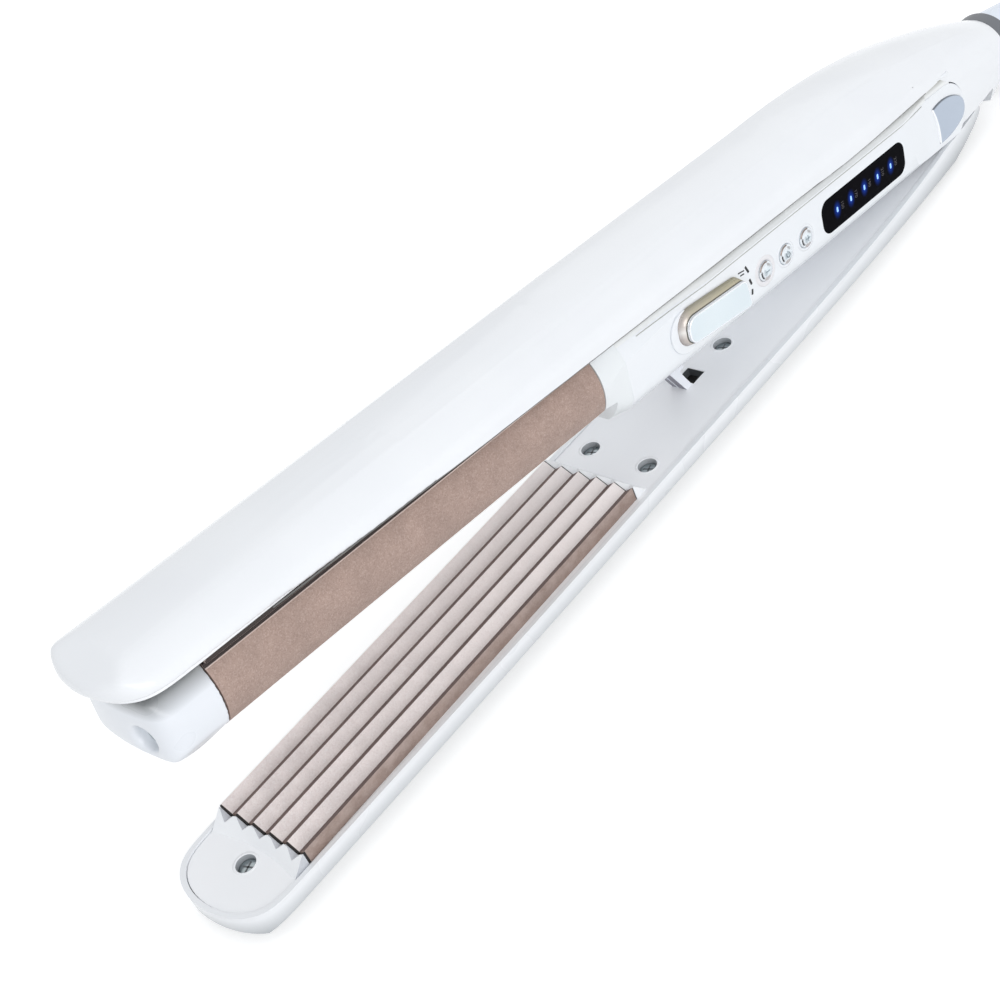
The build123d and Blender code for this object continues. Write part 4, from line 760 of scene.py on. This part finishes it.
# Lines that follow an edge of a machined piece: found by looking at it from the near side
def edgeAlong(node, reaches, heights, upward):
    work = copied(node)
    work.transform(Matrix.Scale(1 / mm, 4) @ bodyPlace.inverted())
    skin = BVHTree.FromBMesh(work)
    work.free()
    points = []
    levels = sorted(heights, reverse=not upward)
    for reach in reaches:
        for level in levels:
            hit = skin.ray_cast(Vector((reach, -30, level)), Vector((0, 1, 0)), 29)[0]
            if hit:
                points.append(Vector(hit))
                break
    return points


def threadAlong(name, points, radius, material, body, sides=8):
    work = bmesh.new()
    rings = []
    for index, point in enumerate(points):
        along = (points[min(index + 1, len(points) - 1)] - points[max(index - 1, 0)]).normalized()
        across = along.cross(Vector((0, 0, 1))).normalized()
        over = across.cross(along)
        turns = [2 * math.pi * step / sides for step in range(sides)]
        rings.append([point + radius * (across * math.cos(turn) + over * math.sin(turn)) for turn in turns])
    loftRings(work, rings)
    newPiece(name, work, bodyPlace, [material], body)


def evenly(start, finish, steps):
    return [start + (finish - start) * step / steps for step in range(steps + 1)]


threads = {
    "cover": {"radius": 0.16, "reach": (16, 240, 56), "aside": (0, 0.12, 0), "atTip": (0, 0.05, 0.12)},
    "barrel": {"radius": 0.14, "past": 0.3, "rear": 110, "aside": (0, 0.06, 0)},
    "seam": {"radius": 0.1, "reach": (124, 238, 20), "aside": (0, -0.02, 0)},
}
fineLevels = [10 + 0.06 * step for step in range(220)]
seamLevels = [14.0 + 0.02 * step for step in range(50)]
# The dark line under the cover's edge is a painted shadow
thread = threads["cover"]
points = [
    point + Vector(thread["aside"] if point.x > coverTip["cut"] else thread["atTip"])
    for point in edgeAlong("top_cover", evenly(*thread["reach"]), fineLevels, True)
]
threadAlong("coverEdgeShadow", points, thread["radius"], edgeShadowGrey, "top_arm")
# The light line along the barrel's top edge is a painted highlight
thread = threads["barrel"]
reaches = [thread["past"] + reach for reach in evenly(capRear, thread["rear"], 24)]
points = edgeAlong("barrel_side_near", reaches, fineLevels, False)
points = [point + Vector(thread["aside"]) for point in points]
threadAlong("barrelEdgeHighlight", points, thread["radius"], edgeHighlightRose, "curler")
thread = threads["seam"]
points = edgeAlong("handle_housing", evenly(*thread["reach"]), seamLevels, False)
points = [point + Vector(thread["aside"]) for point in points]
threadAlong("handleSeamLine", points, thread["radius"], seamGrey, "curler")


# Mode lever: a slab with sloping champagne sides, a chrome lip and a pale panel
lever = {"pivot": (138.0, 8.4), "shaft": 2.0, "depths": (-15.05, -11.5)}
leverBack, leverFront = [roundedOutline(corners, 10) for corners in (
    [(135.0, 4.8, 3.8), (158.7, 3.2, 1.4), (158.3, 12.0, 3.2), (134.7, 14.1, 4.2)],
    [(136.7, 5.6, 2.6), (159.0, 3.6, 1.0), (158.4, 10.7, 1.9), (136.9, 12.1, 2.8)],
)]
leverSteps = (  # depth, share of the front outline, and inset
    (-15.0, 0, 0.4), (-15.15, 0, 0.05), (-16.55, 0.8, 0), (-16.66, 0.93, 0.1), (-16.9, 1, 0),
    (-17.22, 1, 0.02), (-17.33, 1, 0.16), (-17.33, 1, 0.34), (-17.29, 1, 0.48),
)
work = bmesh.new()
rings = []
for depth, share, inset in leverSteps:
    outline = [back.lerp(front, share) for back, front in zip(leverBack, leverFront)]
    rings.append(onFace(insetOutline(outline, inset), depth))
# The groove between the sides and the chrome lip takes a painted shade
loftRings(work, rings, tones=(0, 0, 1, 2, 2, 2, 2, 3), ends=(0, 3))
slab(work, circle(*lever["pivot"], lever["shaft"]), lever["depths"])
leverTones = {
    "pale": Vector((0.50, 0.46, 0.33)), "pink": Vector((0.60, 0.54, 0.51)),
    "white": Vector((0.95, 0.93, 0.9)), "from": 141.0, "fade": 4.5, "spot": 9.2, "spread": 0.9, "most": 0.8,
}


# The lever's sides: paler towards the rear, pinker towards the front, with a painted highlight band across
# them near the front
def leverHighlightPaint(place):
    near = max(0.0, min(1.0, (leverTones["from"] - place.x) / leverTones["fade"]))
    spot = math.exp(-((place.z - leverTones["spot"]) ** 2) / leverTones["spread"]) * near
    tone = leverTones["pale"].lerp(leverTones["pink"], near)
    return tuple(tone.lerp(leverTones["white"], spot * leverTones["most"]))


newPiece("modeLever", work, bodyPlace, [leverSide, leverGrooveShade, chrome, leverFace], "mode_lever",
         stands=("mode_lever",), paint=leverHighlightPaint)

# Marks for the three lever positions: a thick bar each, with thinner strokes beside it
marks = {"depths": (-14.6, -14.84), "thick": 0.62, "thin": 0.3, "round": 0.12}
bars = (((161.5, 11.55), (162.1, 10.2)), ((162.15, 7.9), (162.45, 6.9)), ((162.4, 5.1), (162.2, 4.4)))
strokes = (
    ((158.7, 11.5), (160.7, 11.2)), ((159.3, 10.6), (160.5, 10.45)), ((160.3, 7.7), (161.0, 7.45)),
    ((161.0, 6.6), (161.15, 6.6)), ((160.6, 4.6), (160.9, 4.5)),
)
work = bmesh.new()
for lines, width in ((bars, marks["thick"]), (strokes, marks["thin"])):
    for start, finish in lines:
        slab(work, strip(start, finish, width, marks["round"]), marks["depths"])
newPiece("modeMarks", work, bodyPlace, [printBlack], "curler")


# Buttons: a rim, a fine groove and a domed middle, with painted reflections of the room on the chrome
buttons = {"height": 7.2, "reaches": (167.9, 176.0, 184.1), "names": ("minus", "power", "plus")}
buttonSteps = (  # depth and radius
    (-13.3, 2.45), (-14.95, 2.45), (-15.2, 2.35), (-15.32, 2.16), (-15.28, 1.98), (-15.35, 1.84),
    (-15.5, 1.5), (-15.61, 1.05), (-15.67, 0.55), (-15.69, 0.08),
)
buttonReflectionTones = {
    "rim": Vector((0.80, 0.84, 0.88)), "middle": Vector((0.62, 0.74, 0.80)), "fade": 1.6, "most": 0.7,
}
buttonReflections = (  # from radius, to radius, from turn, to turn, tone
    (1.7, 2.1, 165, 225, (0.02, 0.016, 0.016)), (2.0, 2.4, 75, 160, (0.26, 0.21, 0.19)),
    (1.4, 1.9, 30, 80, (0.42, 0.42, 0.43)), (1.4, 2.3, 235, 300, (0.50, 0.47, 0.47)),
    (-1, 1.2, 140, 240, (0.50, 0.56, 0.60)),
)


def buttonReflectionPaint(reach):
    def tone(place):
        across, up = place.x - reach, place.z - buttons["height"]
        radius, turn = math.hypot(across, up), math.degrees(math.atan2(up, across)) % 360
        for inner, outer, start, finish, patch in buttonReflections:
            if inner < radius < outer and start < turn < finish:
                return patch
        share = max(0.0, 1 - radius / buttonReflectionTones["fade"]) * buttonReflectionTones["most"]
        return tuple(buttonReflectionTones["rim"].lerp(buttonReflectionTones["middle"], share))
    return tone


signs = {
    "inset": (-15.6, -15.73), "width": 0.22, "half": 0.65, "gap": 0.1, "past": 0.2,
    "ring": [math.radians(130 + 28 * step) for step in range(11)],
}
for name, reach in zip(buttons["names"], buttons["reaches"]):
    work = bmesh.new()
    turned(work, reach, buttons["height"], buttonSteps)
    newPiece(name + "Button", work, bodyPlace, [reflectionPaintedChrome], name + "_button",
             stands=(name + "_button",), paint=buttonReflectionPaint(reach))
    work = bmesh.new()
    rows = []
    middle, half = buttons["height"], signs["half"]
    if name in ("minus", "plus"):
        rows.append(strip((reach - half, middle), (reach + half, middle), signs["width"]))
    if name == "plus":
        rows.append(strip((reach, middle - half), (reach, middle + half), signs["width"]))
    if name == "power":
        stroke = [(reach, middle + signs["gap"]), (reach, middle + half + signs["past"])]
        rows.append(strip(*stroke, signs["width"]))
        ends = [(reach + half * math.cos(turn), middle + half * math.sin(turn)) for turn in signs["ring"]]
        rows += [strip(start, finish, signs["width"]) for start, finish in zip(ends, ends[1:])]
    for outline in rows:
        slab(work, outline, signs["inset"])
    newPiece(name + "Sign", work, bodyPlace, [signGrey], name + "_button")

collars = {"rims": (3.75, 3.25, 3.25), "materials": (collarPink, handleWhite, handleWhite)}
for index, name in enumerate(buttons["names"]):
    rim = collars["rims"][index]
    collarSteps = (
        (-14.5, rim + 0.05), (-14.83, rim), (-14.93, rim - 0.25), (-14.93, 2.75), (-14.85, 2.56),
        (-13.9, 2.52),
    )
    work = bmesh.new()
    turned(work, buttons["reaches"][index], buttons["height"], collarSteps, ends=(None, None))
    newPiece(name + "Collar", work, bodyPlace, [collars["materials"][index]], "curler")
print("lever, marks and buttons ready")


# Display: five blue lights with a soft halo and a grey number each
display = {"middle": (209.0, 7.6), "pitch": 5.75, "face": -14.85, "halo": (1.7, 2.6), "dash": (0.6, 1.35)}
lightReaches = [display["middle"][0] + (index - 2) * display["pitch"] for index in range(5)]
displayPanel = {
    "front": 191.3, "rear": 226.7, "half": 4.4, "round": 2.9, "depths": (-14.3, -14.82),
    "frameRound": 0.3, "frameDepths": (-14.2, -14.805),
}
panelBox = (
    displayPanel["front"], displayPanel["rear"],
    display["middle"][1] - displayPanel["half"], display["middle"][1] + displayPanel["half"],
)
work = bmesh.new()
slab(work, boxOutline(*panelBox, displayPanel["round"], 8), displayPanel["depths"], smooth=False)
newPiece("displayPanel", work, bodyPlace, [displayBlack], "curler",
         stands=("display_window",))
work = bmesh.new()
slab(work, boxOutline(*panelBox, displayPanel["frameRound"], 8), displayPanel["frameDepths"], smooth=False)
newPiece("displayFrame", work, bodyPlace, [handleWhite], "curler")
halos = {"steps": (0.04, 0.2, 0.36, 0.52, 0.68, 0.84, 1.0), "tone": (0.012, 0.075, 0.62), "fall": 1.7}
unitCircle = circle(0, 0, 1, 28)
work = bmesh.new()
for reach in lightReaches:
    loftRings(work, [
        [Vector((reach + step * display["halo"][0] * point.x, display["face"],
                 display["middle"][1] + step * display["halo"][1] * point.y)) for point in unitCircle]
        for step in halos["steps"]
    ], ends=(0, None))


def haloPaint(place):
    across = (place.x - display["middle"][0]) / display["pitch"]
    across = (across - round(across)) * display["pitch"] / display["halo"][0]
    away = min(1.0, math.hypot(across, (place.z - display["middle"][1]) / display["halo"][1]))
    return tuple(part * (1 - away) ** halos["fall"] for part in halos["tone"])


newPiece("displayHalos", work, bodyPlace, [haloBlue], "curler", paint=haloPaint)
dashes = {"end": 0.3, "round": 0.28, "depths": [display["face"] + lift for lift in (0.1, -0.03)]}
work = bmesh.new()
for reach in lightReaches:
    half = display["dash"][1] / 2 - dashes["end"]
    outline = strip((reach, display["middle"][1] - half), (reach, display["middle"][1] + half),
                    display["dash"][0], dashes["round"])
    slab(work, outline, dashes["depths"])
newPiece("displayDashes", work, bodyPlace, [dashBlue], "curler")

numbers = {"words": (150, 170, 190, 210, 230), "size": 1.45, "aside": 2.15, "up": 0.2, "proud": 0.02}
for lightReach, word in zip(lightReaches, map(str, numbers["words"])):
    curve = bpy.data.curves.new("number", "FONT")
    curve.body = word
    curve.size = numbers["size"]
    curve.align_x = "CENTER"
    curve.align_y = "CENTER"
    holder = newObject("number", curve)
    bpy.context.view_layer.update()
    work = bmesh.new()
    flat = bpy.data.meshes.new_from_object(holder.evaluated_get(bpy.context.evaluated_depsgraph_get()))
    work.from_mesh(flat)
    bpy.data.objects.remove(holder)
    reach, height = lightReach + numbers["aside"], display["middle"][1] + numbers["up"]
    for vertex in work.verts:
        vertex.co = Vector((reach + vertex.co.y, display["face"] - numbers["proud"], height - vertex.co.x))
    newPiece("displayNumber" + word, work, bodyPlace, [numberGrey], "curler")
print("display ready")


# Screws of the crimping arm: a dark cross of painted shade in each head, a narrower bore and a painted shade
# on the bore's wall
seatLevel = (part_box("crimp_arm_screws")[1][2] - armPlace.translation.z) / mm - armScrews["deeper"]
rim, wide, bore = armScrews["floor"], armScrews["radius"] + 0.02, armScrews["bore"]
headSteps = [(seatLevel + lift, radius) for lift, radius in (
    (-1.2, 1.0), (-0.5, 2.2), (0, 2.15), (0.12, 1.7), (0.15, 0.1))]
wellSteps = (
    (rim - 0.3, wide), (rim + 0.015, wide), (rim + 0.015, bore + 0.08), (rim - 0.06, bore),
    (seatLevel - 0.3, bore - 0.04),
)
cross = {
    "arms": ((1.15, 0.4), (-0.4, 1.15)), "width": 0.42, "round": 0.12,
    "heights": (seatLevel - 0.2, seatLevel + 0.17),
}
work, crosses, wells = bmesh.new(), bmesh.new(), bmesh.new()
for reach, side in armScrews["places"]:
    turned(work, reach, side, headSteps, onFloor, armScrews["sides"])
    turned(wells, reach, side, wellSteps, onFloor, armScrews["sides"], tones=(0, 0, 0, 1), ends=(None, None))
    for a, b in cross["arms"]:
        outline = strip((reach - a, side - b), (reach + a, side + b), cross["width"], cross["round"])
        slab(crosses, outline, cross["heights"], onFloor)
newPiece("armScrews", work, armPlace, [screwSteel], "crimp_arm", stands=("crimp_arm_screws",))
newPiece("armScrewCrosses", crosses, armPlace, [crossShadowGrey], "crimp_arm")
newPiece("armScrewWells", wells, armPlace, [linerWhite, wellShadowGrey], "crimp_arm")

# Window behind the latch hook: painted shade in it, as dark walls and a black floor, and a filled near end
latchWindow = {
    "well": (147.94, 152.46, -2.0, 3.16, 0.15, 3), "wellHeights": (-4.1, -2.0),
    "lip": (147.92, 152.48, -3.18, -2.0, 0.1, 2), "lipHeights": (-4.1, -1.8),
}
work = bmesh.new()
slab(work, boxOutline(*latchWindow["well"]), latchWindow["wellHeights"], onFloor, tones=(1,), ends=(0, None))
newPiece("latchWell", work, armPlace, [gapShadowBlack, recessShadowGrey], "crimp_arm")
work = bmesh.new()
slab(work, boxOutline(*latchWindow["lip"]), latchWindow["lipHeights"], onFloor)
newPiece("latchWindowLip", work, armPlace, [linerWhite], "crimp_arm")


# Latch hook: two leaning legs joined above a slit, with a nose that the slider catches
hook = {"legs": ((-1.7, 0.6), (1.3, 2.9)), "bridge": (0.4, 1.5), "shaded": -0.5}
hookOutline = roundedOutline([
    (145.5, -1.85, 0.1), (147.7, -1.85, 0.1), (146.3, 1.4, 1.5), (145.4, 3.9, 0.4), (147.2, 4.1, 0.3),
    (146.6, 5.3, 0.4), (145.0, 6.1, 0.4), (141.8, 6.1, 0.4),
], 4)
bridgeOutline = roundedOutline([
    (142.6, 4.7, 0.2), (145.2, 4.7, 0.2), (144.9, 6.0, 0.2), (142.1, 6.0, 0.2)
], 3)
work = bmesh.new()
for depths in hook["legs"]:
    slab(work, hookOutline, depths, smooth=False)
slab(work, bridgeOutline, hook["bridge"], smooth=False)
bmesh.ops.recalc_face_normals(work, faces=work.faces)
# Faces that look to the front take a painted shade
for face in work.faces:
    if face.normal.x < hook["shaded"]:
        face.material_index = 1
piece = newPiece("latchHook", work, armPlace, [hookWhite, hookShade], "crimp_arm",
                 stands=("latch_hook",))
roundEdges(piece, 0.12, 2, 40)


# Rear of the handle's deck, rounded over the hinge so that no hole shows beside the cover
deckTail = {"low": 14.2, "half": 13.4, "lean": 0.25}  # sides lean in as they rise
tailProfile = roundedOutline([
    (239.8, deckTail["low"], 0.2), (251.0, deckTail["low"], 0.2), (251.7, 15.2, 0.3), (249.4, 17.3, 1.0),
    (239.8, 17.4, 0.2),
], 5)
work = bmesh.new()
loftRings(work, [
    [Vector((point.x, sign * (deckTail["half"] - deckTail["lean"] * (point.y - deckTail["low"])), point.y))
     for point in tailProfile] for sign in (-1, 1)
], smooth=False)
# The deck's painted shadow under the cover's edge carries on over it
piece = newPiece("deckTail", work, bodyPlace, [deckWhite], "curler")
roundEdges(piece, 0.5, 3, 30)
neckWeb = {"box": (238.5, 252.0, -12.9, 12.9, 0.3, 2), "heights": (17.42, 18.0)}
work = bmesh.new()
slab(work, boxOutline(*neckWeb["box"]), neckWeb["heights"], onFloor, smooth=False)
newPiece("neckWeb", work, bodyPlace, [handleWhite], "top_arm")
print("hook, screws and deck's rear ready")


plain = {
    "top_arm_heater": heaterCeramic, "barrel_heaters": heaterCeramic, "crimp_arm_heater": heaterCeramic,
    "circuit_board": boardGreen, "button_switches": darkNylon, "display_lights": displayBlack,
    "top_arm_screws": screwSteel, "deck_screws": screwSteel, "end_cap_screws": screwSteel,
    "hinge_pin": pinSteel, "opening_spring": pinSteel, "latch_slider": darkNylon,
}
for node, material in plain.items():
    mesh = nodes[node].data
    mesh.materials.clear()
    mesh.materials.append(material)
print("inner nodes finished")


# Floor, lamps and a surround that shows white to the camera, in mirrors and through glass
def directRays(tree):
    rays = addNode(tree, "LightPath")
    seen, either = [addNode(tree, "Math", {"operation": "MAXIMUM"}) for _ in range(2)]
    wire(tree, (rays, "Is Camera Ray", seen, 0), (rays, "Is Glossy Ray", seen, 1), (seen, "Value", either, 0),
         (rays, "Is Transmission Ray", either, 1))
    return either


stage = {
    "floor": 6.0, "below": 0.2, "glow": 0.47, "ambient": 0.76, "sky": (0.96, 0.98, 1.0), "aim": (0, 0, 0.03),
}
lamps = {  # place, size and power
    "keyLamp": ((-0.3, -1.0, 0.55), 0.8, 5.0), "fillLamp": ((0.9, 0.5, 0.8), 0.9, 1.0),
}
floorPlace = (0, 0, cadBounds[0].z - stage["below"] * mm)
bpy.ops.mesh.primitive_plane_add(size=stage["floor"], location=floorPlace)
floor = bpy.context.object
floor.name = "floor"
floorMaterial, tree, shader = newMaterial(
    "floorPaper", Base_Color=(0.8, 0.8, 0.8), Roughness=0.9, Specular_IOR_Level=0.0, Emission_Color=(1, 1, 1))
direct = directRays(tree)
glow = addNode(tree, "Math", {"operation": "MULTIPLY"})
glow.inputs[1].default_value = stage["glow"]
wire(tree, (direct, "Value", glow, 0), (glow, "Value", shader, "Emission Strength"))
floor.data.materials.append(floorMaterial)

world = bpy.data.worlds.new("studio")
bpy.context.scene.world = world
world.use_nodes = True
tree = world.node_tree
tree.nodes.clear()
sky = addNode(tree, "Background", Strength=stage["ambient"], Color=stage["sky"])
white = addNode(tree, "Background", Strength=1.0, Color=(1, 1, 1))
direct = directRays(tree)
mix = addNode(tree, "MixShader")
out = addNode(tree, "OutputWorld")
wire(
    tree, (direct, "Value", mix, "Fac"), (sky, "Background", mix, 1), (white, "Background", mix, 2),
    (mix, "Shader", out, "Surface"),
)

for name, (place, size, power) in lamps.items():
    data = bpy.data.lights.new(name, "AREA")
    data.energy = power
    data.size = size
    lamp = newObject(name, data)
    lamp.location = place
    lamp.rotation_euler = (Vector(stage["aim"]) - Vector(place)).to_track_quat("-Z", "Y").to_euler()
print("stage ready")
